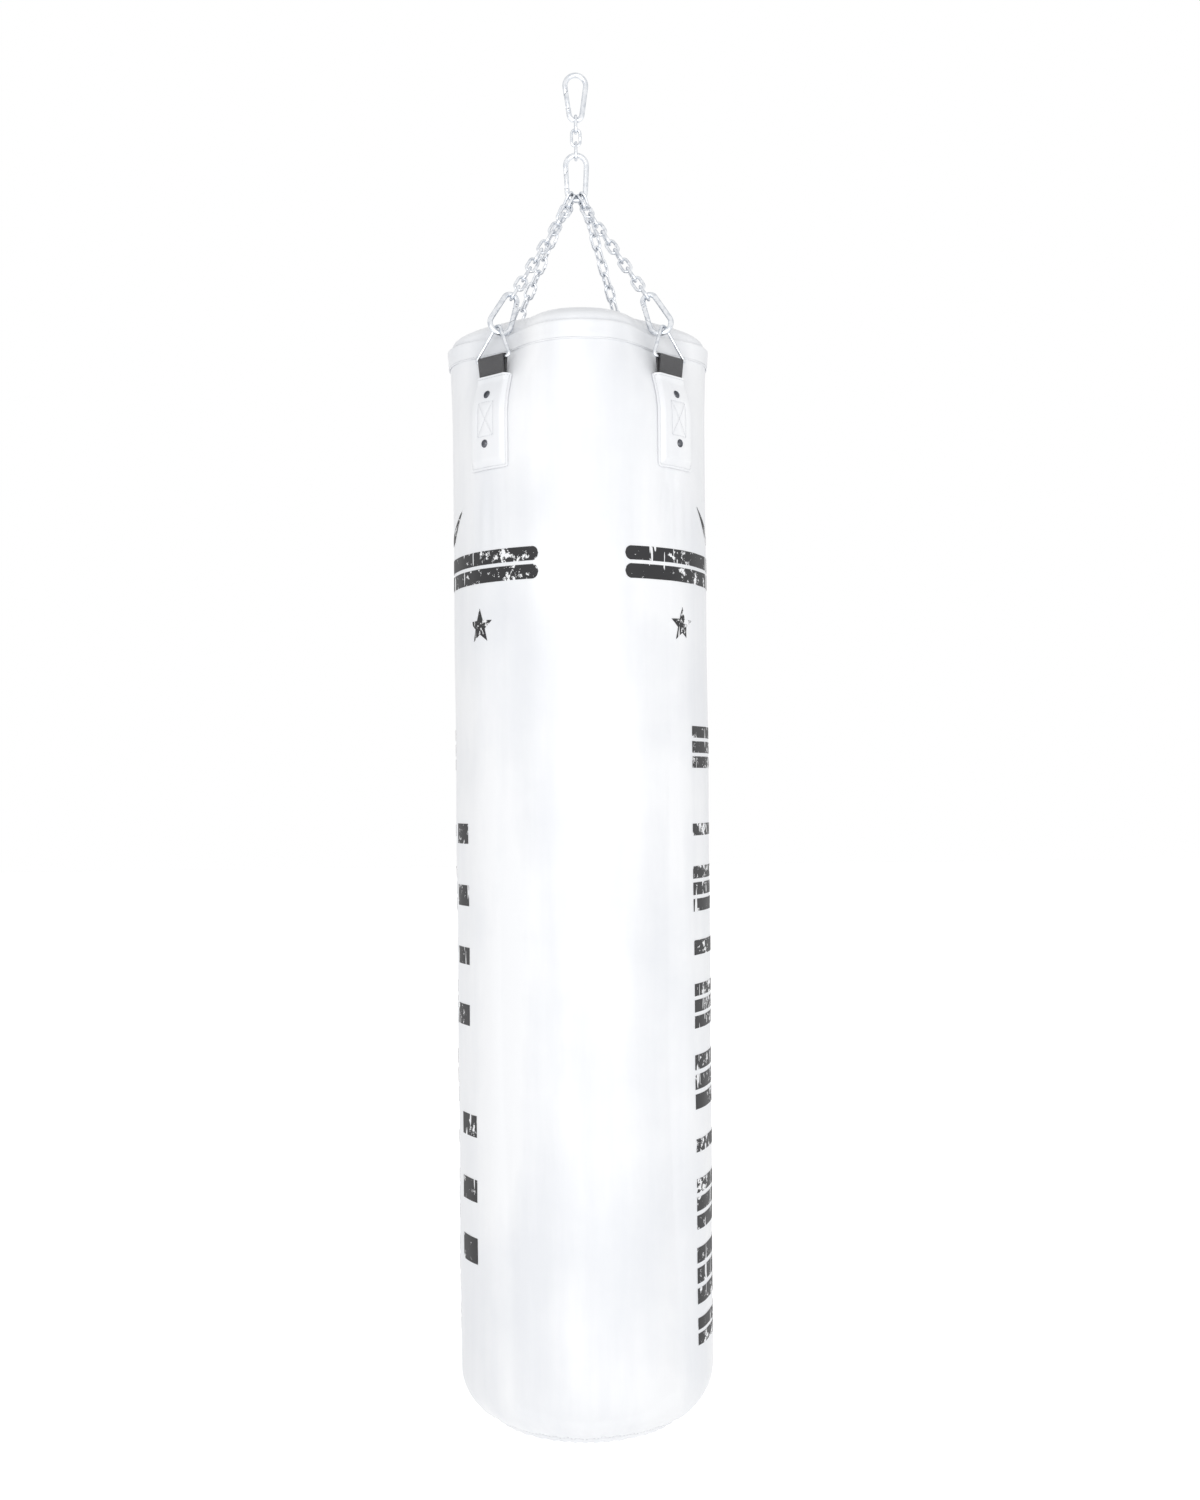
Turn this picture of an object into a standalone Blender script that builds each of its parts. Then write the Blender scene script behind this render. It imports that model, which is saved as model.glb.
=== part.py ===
"""Long hanging heavy bag on a four-chain sling with snap hooks.

Metres, +Z up. The origin is the inside top of the uppermost snap hook, where a ceiling ring bears.
The front of the bag faces -Y. The four hangers stand at 45 degrees to the front.
"""

import math

import bmesh
import bpy
from mathutils import Matrix, Vector

# ---- snap hooks: pear-shaped, 70 mm long, 7 mm wire -------------------------------------------
HOOK_WIRE = 0.0035          # radius of the hook wire
HOOK_BIG = 0.0145           # centreline radius of the wide end
HOOK_SMALL = 0.0090         # centreline radius of the narrow end
LOWER_SMALL = 0.0127        # the lower hook's narrow end is wider, as four chains hang in it
HOOK_INNER = 0.0560         # inside length, end to end
GATE_NOSE_Z = -0.0215       # where the gate meets the nose, below the inside of the wide end
GATE_PIVOT_Z = -0.0440      # the gate's hinge pin
GATE_TONGUE = 0.0016        # half thickness of the flattened end the gate turns on
PIN_RADIUS = 0.0011
TONGUE_REACH = 0.0024       # how far body and gate run past the hinge pin
NOSE_OVERRUN = 0.0040
NOSE_SLANT = Vector((0.78, 0.0, -0.62)).normalized()
CUT_REACH = 0.0060          # half size of the cuts that shape nose, tongue and fork, past the wire's surface
TONGUE_LOW = 0.0042         # the body's flats run this far below the hinge pin
FORK_HIGH = 0.0045          # the gate's slot runs this far above it

# ---- chain: short link, 4 mm wire, 19 mm pitch ------------------------------------------------
LINK_WIRE = 0.0020
LINK_PITCH = 0.0190
LINK_HALF_WIDTH = 0.0060    # centreline, so 8 mm inside and 16 mm outside
CHAIN_LINKS = 11            # links in each leg of the sling
CHAIN_BITE = 0.0012         # how far links of one leg run into each other, so a leg is one body
CHAIN_SEAT_GAP = 0.0007     # clearance where a leg rides on a hook

# middles of the wires that the loose links and the lower hook hang on
LINK_1_Z = -HOOK_INNER - HOOK_WIRE
LINK_2_Z = LINK_1_Z + HOOK_WIRE + 0.0003 - LINK_PITCH - LINK_WIRE
LINK_3_Z = LINK_2_Z + LINK_WIRE + 0.0003 - LINK_PITCH - LINK_WIRE
LOWER_PIVOT_Z = LINK_3_Z + LINK_WIRE + 0.0003 - LINK_PITCH - LINK_WIRE
LOWER_HOOK_Z = LOWER_PIVOT_Z + LINK_WIRE + 0.0003

# ---- the bag ----------------------------------------------------------------------------------
BAG_R = 0.1750
RIM_Z = -0.3870
BOTTOM_Z = -1.8540          # underside of the corner turn
CORNER_R = 0.0680
SEAM_R = 0.1370             # seam between the tube and the bottom panel
PANEL_DIP_Z = -1.8660       # lowest point of the bottom panel
PANEL_RISE = 0.0025         # the panel's middle is nearly flat: it rises this much by 0.6 of its radius
PANEL_EDGE_FALL = 0.0075    # and it falls this much just inside its seam
SKIN = 0.0025
LINING = 0.0150
LINING_GAP = 0.0016         # the soft layers lie this far apart
HEM_HEIGHT = 0.0240
HEM_THICK = 0.0018
SEGMENTS = 32
GAP = 0.0003

# the straps draw the soft top in at four places and it swells a little between them
PULL_START_Z = -0.5000
PULL_SPAN = 0.1250
PULL_IN = 0.0390
SWELL = 0.0030
SHIFT = math.radians(12.6)          # the back right strap is set this far round from square
SHIFT_REACH = math.radians(65.0)
TOP_ROWS = (-0.3870, -0.3990, -0.4110, -0.4240, -0.4380, -0.4540, -0.4640, -0.4790, -0.5000)

# ---- hangers ----------------------------------------------------------------------------------
STRAPS = {"front_left": -45.0, "front_right": 45.0, "back_right": 147.0, "back_left": 225.0}
HOOK_ROLL = {"front_left": -30.0, "front_right": 30.0, "back_right": -30.0, "back_left": 30.0}
CHAIN_SEAT = {"front_left": -17.0, "front_right": 11.0, "back_right": 64.0, "back_left": -68.0}
HOOK_FOOT_R = 0.1560        # inside of the strap hook's wide end: distance from the bag's axis
HOOK_FOOT_Z = -0.3825
HOOK_HEAD_R = 0.1292        # inside of its narrow end
HOOK_HEAD_Z = -0.3338
RING_WIRE = 0.00225
RING_BASE_R = 0.1660
RING_BASE_Z = -0.4230
RING_CORNER_X = 0.0265      # centre of the bend at each end of the base
RING_CORNER_BEND = 0.0035
RING_APEX_BEND = 0.0064     # centreline radius of the apex
RING_APEX_RISE = 0.0019     # centre of the apex bend above the middle of the hook wire in it
WEB_HALF_WIDTH = 0.0235
WEB_THICK = 0.0018
PATCH_HALF_WIDTH = 0.0335
PATCH_TOP_Z = -0.4450
PATCH_BOTTOM_Z = -0.5700
PATCH_THICK = 0.0015
PATCH_MARGIN = 0.0070
PATCH_PROUD = 0.0058        # underside of the patch above the skin, where it covers the strap
PATCH_LIP = 0.0042          # how much further it stands off at its top, where the strap leaves it
RIVET_Z = (-0.4715, -0.5370)
RIVET_HEAD_R = 0.0055
RIVET_HEAD_H = 0.0026
RIVET_SHANK_R = 0.0022
RIVET_SHANK_L = 0.0092
RIVET_SIDES = 10

# ---- zip in the crown of the lid --------------------------------------------------------------
CROWN_Z = -0.3510
CROWN_FLAT_R = 0.0860
LID_SKIRT_Z = -0.3990          # the lid reaches down inside the rim to here
LID_ROWS = (                   # distance from the axis, height, and the share of an inset that moves each
    (0.1690, -0.3765, 1.0, 0.2),
    (0.1560, -0.3680, 0.8, 0.6),
    (0.1350, -0.3612, 0.4, 0.9),
    (0.1120, -0.3555, 0.2, 1.0),
)
ZIP_HALF_LENGTH = 0.0800
ZIP_TAPE_HALF = 0.0140
ZIP_TAPE_THICK = 0.0010
ZIP_TEETH_HALF = 0.0030
ZIP_TEETH_THICK = 0.0012
ZIP_SLIDER_X = 0.0680       # the slider at rest, zip closed
SLIDER_HALF_LENGTH = 0.0070
SLIDER_HALF_WIDTH = 0.0045
SLIDER_HEIGHT = 0.0034
PULLER_PIVOT_X = 0.0050     # from the middle of the slider
PULLER_REACH = 0.0260
PULLER_HEEL = 0.0006
PULLER_HALF_WIDTH = 0.0035
PULLER_THICK = 0.0016

PARTS = None
CUTTERS = None
MATERIALS = {}


# ---- scene plumbing ---------------------------------------------------------------------------
def clear_scene():
    for item in list(bpy.data.objects):
        bpy.data.objects.remove(item, do_unlink=True)


def new_collection(name, hidden):
    made = bpy.data.collections.new(name)
    bpy.context.scene.collection.children.link(made)
    made.hide_render = hidden
    return made


def linear(value):
    value = value / 255.0
    if value <= 0.04045:
        return value / 12.92
    return ((value + 0.055) / 1.055) ** 2.4


def material(name, red, green, blue, roughness, metallic):
    if name in MATERIALS:
        return MATERIALS[name]
    made = bpy.data.materials.new(name)
    made.use_nodes = True
    shader = made.node_tree.nodes["Principled BSDF"]
    shader.inputs["Base Color"].default_value = (linear(red), linear(green), linear(blue), 1.0)
    shader.inputs["Roughness"].default_value = roughness
    shader.inputs["Metallic"].default_value = metallic
    made.diffuse_color = (linear(red), linear(green), linear(blue), 1.0)
    MATERIALS[name] = made
    return made


def white_vinyl():
    return material("white_vinyl", 238, 239, 242, 0.38, 0.0)


def zinc_steel():
    return material("zinc_plated_steel", 186, 190, 196, 0.25, 1.0)


def black_webbing():
    return material("black_webbing", 42, 42, 45, 0.85, 0.0)


def place(name, mesh, surface, smooth, frame=Matrix.Identity(4)):
    mesh.materials.clear()
    mesh.materials.append(surface)
    for face in mesh.polygons:
        face.use_smooth = smooth
    made = bpy.data.objects.new(name, mesh)
    made.matrix_world = frame
    PARTS.objects.link(made)
    return made


def cutter(name, mesh, frame=Matrix.Identity(4)):
    made = bpy.data.objects.new(name, mesh)
    made.matrix_world = frame
    made.display_type = "WIRE"
    made.hide_render = True
    CUTTERS.objects.link(made)
    return made


def boolean(target, tool, operation):
    step = target.modifiers.new(operation.lower() + "_" + tool.name, "BOOLEAN")
    step.operation = operation
    step.object = tool
    step.solver = "EXACT"


def mesh_from(name, work):
    bmesh.ops.recalc_face_normals(work, faces=work.faces)
    mesh = bpy.data.meshes.new(name)
    work.to_mesh(mesh)
    work.free()
    return mesh


# ---- shapes -----------------------------------------------------------------------------------
def wire_mesh(name, points, radius, closed, resolution):
    """A round wire along a run of points, as a mesh with welded end caps."""
    curve = bpy.data.curves.new(name + "_path", "CURVE")
    curve.dimensions = "3D"
    curve.bevel_depth = radius
    curve.bevel_resolution = resolution
    curve.use_fill_caps = not closed
    run = curve.splines.new("POLY")
    run.points.add(len(points) - 1)
    for knot, point in zip(run.points, points):
        knot.co = (point[0], point[1], point[2], 1.0)
    run.use_cyclic_u = closed
    holder = bpy.data.objects.new(name + "_path", curve)
    PARTS.objects.link(holder)
    bpy.context.view_layer.update()
    drawn = holder.evaluated_get(bpy.context.evaluated_depsgraph_get())
    mesh = bpy.data.meshes.new_from_object(drawn)
    bpy.data.objects.remove(holder)
    work = bmesh.new()
    work.from_mesh(mesh)
    bmesh.ops.remove_doubles(work, verts=work.verts, dist=1e-6)
    bpy.data.meshes.remove(mesh)
    return mesh_from(name, work)


def arc(centre_x, centre_z, radius, start, stop, steps):
    """Points in the XZ plane, angles in degrees from +X towards +Z."""
    points = []
    for step in range(steps + 1):
        angle = math.radians(start + (stop - start) * step / steps)
        points.append((centre_x + radius * math.cos(angle), 0.0, centre_z + radius * math.sin(angle)))
    return points


def cylinder_mesh(name, radius, start, stop, sides):
    """A cylinder between two points."""
    start = Vector(start)
    stop = Vector(stop)
    turn = (stop - start).to_track_quat("Z", "Y").to_matrix().to_4x4()
    work = bmesh.new()
    bmesh.ops.create_cone(work, cap_ends=True, segments=sides, radius1=radius, radius2=radius,
                          depth=(stop - start).length,
                          matrix=Matrix.Translation((start + stop) / 2.0) @ turn)
    return mesh_from(name, work)


def box_mesh(name, low, high):
    low = Vector(low)
    high = Vector(high)
    size = high - low
    work = bmesh.new()
    bmesh.ops.create_cube(work, size=1.0,
                          matrix=Matrix.Translation((low + high) / 2.0) @ Matrix.Diagonal(size).to_4x4())
    return mesh_from(name, work)


def trim(mesh, point, normal):
    """Cut away everything on the side the normal points to and close the cut."""
    work = bmesh.new()
    work.from_mesh(mesh)
    everything = list(work.verts) + list(work.edges) + list(work.faces)
    cut = bmesh.ops.bisect_plane(work, geom=everything, plane_co=point, plane_no=normal, clear_outer=True)
    rim = [item for item in cut["geom_cut"] if isinstance(item, bmesh.types.BMEdge)]
    bmesh.ops.edgeloop_fill(work, edges=rim)
    bmesh.ops.recalc_face_normals(work, faces=work.faces)
    work.to_mesh(mesh)
    work.free()
    return mesh


def smoothstep(value):
    value = min(max(value, 0.0), 1.0)
    return value * value * (3.0 - 2.0 * value)


def draw_in(azimuth, height):
    """How much the bag's radius is scaled at this azimuth (radians) and height."""
    past = math.remainder(azimuth - math.radians(STRAPS["back_right"]), 2.0 * math.pi)
    if abs(past) < SHIFT_REACH:
        azimuth -= SHIFT * (0.5 + 0.5 * math.cos(math.pi * past / SHIFT_REACH))
    lobe = 0.5 + 0.5 * math.cos(4.0 * (azimuth - math.radians(45.0)))
    change = SWELL * (1.0 - lobe) - PULL_IN * lobe ** 1.4
    return 1.0 + smoothstep((height - PULL_START_Z) / PULL_SPAN) * change / BAG_R


def outward(azimuth):
    return Vector((math.sin(azimuth), -math.cos(azimuth), 0.0))


def turned_mesh(name, profile):
    """A closed outline of (radius, height) turned round Z, then drawn in by the straps."""
    work = bmesh.new()
    ring = [work.verts.new((radius, 0.0, height)) for radius, height in profile]
    edges = [work.edges.new((ring[index], ring[(index + 1) % len(ring)])) for index in range(len(ring))]
    bmesh.ops.spin(work, geom=ring + edges, cent=(0, 0, 0), axis=(0, 0, 1), angle=2.0 * math.pi,
                   steps=SEGMENTS, use_merge=True)
    bmesh.ops.remove_doubles(work, verts=work.verts, dist=1e-5)
    for vert in work.verts:
        radius = math.hypot(vert.co.x, vert.co.y)
        if radius > 1e-6:
            scale = draw_in(math.atan2(vert.co.x, -vert.co.y), vert.co.z)
            vert.co.x *= scale
            vert.co.y *= scale
    loose = [edge for edge in work.edges if not edge.link_faces]
    bmesh.ops.delete(work, geom=loose, context="EDGES")
    bmesh.ops.delete(work, geom=[face for face in work.faces if face.calc_area() < 1e-10], context="FACES")
    bmesh.ops.triangulate(work, faces=work.faces, quad_method="SHORT_EDGE")
    return mesh_from(name, work)


# ---- snap hooks -------------------------------------------------------------------------------
def hook_leg_x(height, small):
    """Distance of a leg's centreline from the hook's axis at a height."""
    slope = leg_slope(small)
    big_z = HOOK_WIRE - HOOK_BIG
    return HOOK_BIG / math.cos(slope) + (height - big_z) * math.tan(slope)


def leg_slope(small):
    centres = HOOK_INNER + 2.0 * HOOK_WIRE - HOOK_BIG - small
    return math.asin((HOOK_BIG - small) / centres)


def snap_hook(prefix, frame, small):
    """Body, sprung gate and hinge pin. The gate is on -X; small is the narrow end's radius."""
    slope = leg_slope(small)
    big_z = HOOK_WIRE - HOOK_BIG
    small_z = small - HOOK_WIRE - HOOK_INNER
    leg = Vector((-math.sin(slope), 0.0, math.cos(slope)))
    pivot = Vector((-hook_leg_x(GATE_PIVOT_Z, small), 0.0, GATE_PIVOT_Z))
    nose = Vector((-hook_leg_x(GATE_NOSE_Z, small), 0.0, GATE_NOSE_Z))
    degrees = math.degrees(slope)

    run = [pivot + leg * TONGUE_REACH]
    run += arc(0.0, small_z, small, 180.0 + degrees, 360.0 - degrees, 6)
    run += arc(0.0, big_z, HOOK_BIG, -degrees, 180.0 + degrees, 8)
    run += [nose - leg * NOSE_OVERRUN]
    body = place(prefix + "_body", wire_mesh(prefix + "_body", run, HOOK_WIRE, False, 2), zinc_steel(), True, frame)
    slant = frame_from(nose, NOSE_SLANT.cross(Vector((0, 1, 0))) * -1.0, Vector((0, 1, 0)), NOSE_SLANT)
    chop = box_mesh(prefix + "_chop", (-CUT_REACH - 0.002, -CUT_REACH, 0.0), (CUT_REACH + 0.002, CUT_REACH, 0.010))
    boolean(body, cutter(prefix + "_chop", chop, frame @ slant), "DIFFERENCE")
    at_pivot = frame @ Matrix.Translation(pivot)
    for number, side in enumerate((-1.0, 1.0)):
        near = side * GATE_TONGUE
        far = side * HOOK_WIRE * 1.5
        flat = box_mesh(prefix + "_flat", (-CUT_REACH, min(near, far), -TONGUE_LOW),
                        (CUT_REACH, max(near, far), CUT_REACH))
        boolean(body, cutter(prefix + "_flat_" + str(number), flat, at_pivot), "DIFFERENCE")
    bore = cylinder_mesh(prefix + "_bore", PIN_RADIUS + GAP, (0, -CUT_REACH, 0), (0, CUT_REACH, 0), 8)
    bore_tool = cutter(prefix + "_bore", bore, at_pivot)
    boolean(body, bore_tool, "DIFFERENCE")

    gate_run = [leg * -TONGUE_REACH, leg * 0.0090, nose - pivot + leg * NOSE_OVERRUN]
    gate_mesh = wire_mesh(prefix + "_gate", gate_run, HOOK_WIRE - GAP, False, 2)
    gate_mesh = trim(gate_mesh, nose - pivot + NOSE_SLANT * GAP * 1.5, -NOSE_SLANT)
    gate = place(prefix + "_gate", gate_mesh, zinc_steel(), True, at_pivot)
    cheek = GATE_TONGUE + GAP
    slot = box_mesh(prefix + "_slot", (-CUT_REACH, -cheek, -CUT_REACH), (CUT_REACH, cheek, FORK_HIGH))
    boolean(gate, cutter(prefix + "_slot", slot, at_pivot), "DIFFERENCE")
    boolean(gate, bore_tool, "DIFFERENCE")

    pin_mesh = cylinder_mesh(prefix + "_pin", PIN_RADIUS, (0, -HOOK_WIRE, 0), (0, HOOK_WIRE, 0), 8)
    place(prefix + "_pin", pin_mesh, material("steel_pin", 150, 152, 156, 0.35, 1.0), True, at_pivot)


# ---- chain ------------------------------------------------------------------------------------
def link_mesh(name, inner_length, resolution, steps):
    """One link, centred, long axis Z, lying in the XZ plane."""
    reach = inner_length / 2.0 + LINK_WIRE - LINK_HALF_WIDTH
    run = arc(0.0, reach, LINK_HALF_WIDTH, 0.0, 180.0, steps)
    run += arc(0.0, -reach, LINK_HALF_WIDTH, 180.0, 360.0, steps)
    return wire_mesh(name, run, LINK_WIRE, True, resolution)


def frame_from(origin, across, normal, along):
    """A frame whose X, Y, Z are the three given directions."""
    made = Matrix.Identity(4)
    for row in range(3):
        made[row][0] = across[row]
        made[row][1] = normal[row]
        made[row][2] = along[row]
        made[row][3] = origin[row]
    return made


def sling_leg(name, seat, seat_tangent, foot, foot_tangent):
    """A leg of the sling from the wire of the lower hook to the wire of a strap hook, one body."""
    reach = HOOK_WIRE + LINK_WIRE + CHAIN_SEAT_GAP
    along = (foot - seat).normalized()
    start = seat
    stop = foot
    for _ in range(6):
        clear_top = (along - seat_tangent * along.dot(seat_tangent)).normalized()
        clear_foot = (along - foot_tangent * along.dot(foot_tangent)).normalized()
        start = seat - clear_top * reach + along * LINK_WIRE
        stop = foot + clear_foot * reach - along * LINK_WIRE
        along = (stop - start).normalized()
    pitch = (stop - start).length / CHAIN_LINKS
    first = along.cross(seat_tangent).cross(along).normalized()
    last = along.cross(foot_tangent).cross(along).normalized()
    twist = first.angle(last)
    if twist > math.pi / 2.0:
        last = -last
        twist = first.angle(last)
    if first.cross(last).dot(along) < 0.0:
        twist = -twist

    halves = [bmesh.new(), bmesh.new()]
    for index in range(CHAIN_LINKS):
        inner = pitch - CHAIN_BITE
        shift = 0.0
        if index in (0, CHAIN_LINKS - 1):
            inner = pitch - CHAIN_BITE / 2.0
            shift = -CHAIN_BITE / 4.0 if index == 0 else CHAIN_BITE / 4.0
        turn = twist * index / (CHAIN_LINKS - 1) + math.radians(90.0) * (index % 2)
        normal = Matrix.Rotation(turn, 3, along) @ first
        centre = start + along * (pitch * (index + 0.5) + shift)
        frame = frame_from(centre, normal.cross(along), normal, along)
        mesh = link_mesh("one_link", inner, 1, 3)
        mesh.transform(frame)
        halves[index % 2].from_mesh(mesh)
        bpy.data.meshes.remove(mesh)
    leg = place(name, mesh_from(name, halves[0]), zinc_steel(), True)
    boolean(leg, cutter(name + "_other_links", mesh_from(name + "_other_links", halves[1])), "UNION")


def single_link(name, pivot_z, held_wire, turn):
    """A loose link whose origin is the middle of the wire it hangs on."""
    mesh = link_mesh(name, LINK_PITCH, 2, 5)
    mesh.transform(Matrix.Translation((0.0, 0.0, held_wire + GAP - LINK_PITCH / 2.0)))
    frame = Matrix.Translation((0.0, 0.0, pivot_z)) @ Matrix.Rotation(turn, 4, "Z")
    place(name, mesh, zinc_steel(), True, frame)


# ---- soft parts -------------------------------------------------------------------------------
def corner(radius, low_z, inset):
    """The turn from the side of the bag to its bottom, as (radius, height), top to bottom."""
    points = []
    turn_r = CORNER_R - inset
    centre_r = radius + inset - CORNER_R
    last = math.asin((SEAM_R - (BAG_R - CORNER_R)) / CORNER_R)
    for step in range(6):
        angle = math.pi / 2.0 + (last - math.pi / 2.0) * step / 5
        points.append((centre_r + turn_r * math.sin(angle), low_z + CORNER_R - turn_r * math.cos(angle)))
    return points


def bag_tube():
    outer = [(BAG_R, height) for height in TOP_ROWS] + corner(BAG_R, BOTTOM_Z, 0.0)
    inner = [(BAG_R - SKIN, height) for height in TOP_ROWS] + corner(BAG_R - SKIN, BOTTOM_Z, SKIN)
    return place("shell", turned_mesh("shell", outer + inner[::-1]), white_vinyl(), True)


def bottom_panel():
    edge_z = BOTTOM_Z + CORNER_R - math.sqrt(CORNER_R ** 2 - (SEAM_R - (BAG_R - CORNER_R)) ** 2)
    rim = SEAM_R - 0.0012
    low_z = edge_z - PANEL_EDGE_FALL
    mid_z = PANEL_DIP_Z + PANEL_RISE
    under = [(rim, edge_z), (rim * 0.9, low_z), (rim * 0.6, mid_z), (0.0, PANEL_DIP_Z)]
    upper = [(0.0, PANEL_DIP_Z + SKIN), (rim * 0.6, mid_z + SKIN), (rim * 0.9, low_z + SKIN),
             (rim - 0.0016, edge_z + SKIN)]
    place("bottom_panel", turned_mesh("bottom_panel", under + upper), white_vinyl(), True)


def rim_hem():
    rows = [height for height in TOP_ROWS if height >= RIM_Z - HEM_HEIGHT - 1e-6]
    outer = [(BAG_R + 0.0006 + HEM_THICK, height) for height in rows]
    inner = [(BAG_R + 0.0006, height) for height in rows]
    place("rim_hem", turned_mesh("rim_hem", outer + inner[::-1]), white_vinyl(), True)


def lid_outline(inset):
    rim_r = BAG_R - SKIN - 2.0 * GAP - inset
    rows = [(rim_r, LID_SKIRT_Z), (rim_r, RIM_Z)]
    rows += [(radius - inset * inwards, height - inset * down) for radius, height, inwards, down in LID_ROWS]
    return rows + [(CROWN_FLAT_R - inset * 0.1, CROWN_Z - inset)]


def lid():
    outer = [(0.0, CROWN_Z)] + lid_outline(0.0)[::-1]
    inner = lid_outline(SKIN) + [(0.0, CROWN_Z - SKIN)]
    place("lid", turned_mesh("lid", outer + inner), white_vinyl(), True)


def foam_lining():
    outer_r = BAG_R - SKIN - LINING_GAP
    tops = (-0.4010,) + TOP_ROWS[2:]
    outer = [(outer_r, height) for height in tops] + corner(outer_r, BOTTOM_Z, SKIN + LINING_GAP)
    inner_r = outer_r - LINING
    inner = [(inner_r, height) for height in tops] + corner(inner_r, BOTTOM_Z, SKIN + LINING_GAP + LINING)
    place("foam_lining", turned_mesh("foam_lining", outer + inner[::-1]),
          material("foam", 206, 204, 198, 0.95, 0.0), True)


def textile_filling():
    inset = SKIN + LINING_GAP
    side_r = BAG_R - SKIN - LINING_GAP - LINING - LINING_GAP
    crown = [(0.0, CROWN_Z - inset)] + lid_outline(inset)[:1:-1]
    side = [(side_r, -0.4020)] + [(side_r, height) for height in TOP_ROWS[2:]]
    side += [(side_r, BOTTOM_Z + CORNER_R), (0.1260, BOTTOM_Z + 0.0240), (0.1100, BOTTOM_Z + 0.0140),
             (0.0, BOTTOM_Z + 0.0100)]
    crown = [point for point in crown if point[0] < side_r - 0.004]
    place("textile_filling", turned_mesh("textile_filling", crown + side),
          material("packed_textile", 150, 148, 146, 0.95, 0.0), True)


# ---- hangers ----------------------------------------------------------------------------------
def on_bag(azimuth, across, offset, height):
    """A point on or above the skin: across from a hanger's centre line, offset outwards."""
    there = azimuth + across / BAG_R
    return outward(there) * (BAG_R * draw_in(there, height) + offset) + Vector((0.0, 0.0, height))


def ribbon_mesh(name, rows):
    """Rows of points, each a closed loop of the same length, joined up with both end loops filled."""
    work = bmesh.new()
    grid = [[work.verts.new(point) for point in row] for row in rows]
    count = len(grid[0])
    for near, far in zip(grid, grid[1:]):
        for index in range(count):
            after = (index + 1) % count
            work.faces.new((near[index], near[after], far[after], far[index]))
    half = count // 2
    for row in (grid[0], grid[-1]):
        for index in range(half - 1):
            work.faces.new((row[index], row[index + 1], row[count - 2 - index], row[count - 1 - index]))
    return mesh_from(name, work)


def webbing_offsets():
    """The two tails of the strap as (offset from skin, height): the outer one up, the inner one down."""
    low_z = PATCH_BOTTOM_Z + 0.0140
    outer = 0.0010 + WEB_THICK * 1.5 + GAP
    inner = 0.0010 + WEB_THICK * 0.5
    rises = (low_z,) + TOP_ROWS[:4:-1]
    up = [(outer, height) for height in rises]
    down = [(inner, height) for height in rises[::-1]]
    return up, down


def webbing(name, azimuth):
    """A strap folded round the bar of the ring, both tails lying under the patch."""
    up, down = webbing_offsets()
    bar_reach = RING_WIRE + 0.0004 + WEB_THICK / 2.0
    loop = []
    for degrees in (0.0, 45.0, 90.0, 135.0, 180.0):
        angle = math.radians(degrees)
        loop.append((bar_reach * math.cos(angle), bar_reach * math.sin(angle)))
    widths = (-1.0, -0.5, 0.0, 0.5, 1.0)
    columns = []
    tangent = Vector((math.cos(azimuth), math.sin(azimuth), 0.0))
    for share in widths:
        across = share * WEB_HALF_WIDTH
        flat = tangent * across
        middle = [on_bag(azimuth, across, offset, height) for offset, height in up]
        for reach, rise in loop:
            middle.append(outward(azimuth) * (RING_BASE_R + reach) + flat + Vector((0, 0, RING_BASE_Z + rise)))
        middle += [on_bag(azimuth, across, offset, height) for offset, height in down]
        columns.append(thickened(middle, azimuth, WEB_THICK / 2.0))
    return place(name, ribbon_mesh(name, columns), black_webbing(), False)


def thickened(middle, azimuth, half):
    """Both sides of a middle line that lies in the vertical plane of a hanger, as one closed loop."""
    side = Vector((math.cos(azimuth), math.sin(azimuth), 0.0))
    left = []
    right = []
    for index, point in enumerate(middle):
        before = middle[max(index - 1, 0)]
        after = middle[min(index + 1, len(middle) - 1)]
        run = after - before
        run -= side * run.dot(side)
        normal = run.normalized().cross(side)
        left.append(point + normal * half)
        right.append(point - normal * half)
    return left + right[::-1]


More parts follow.
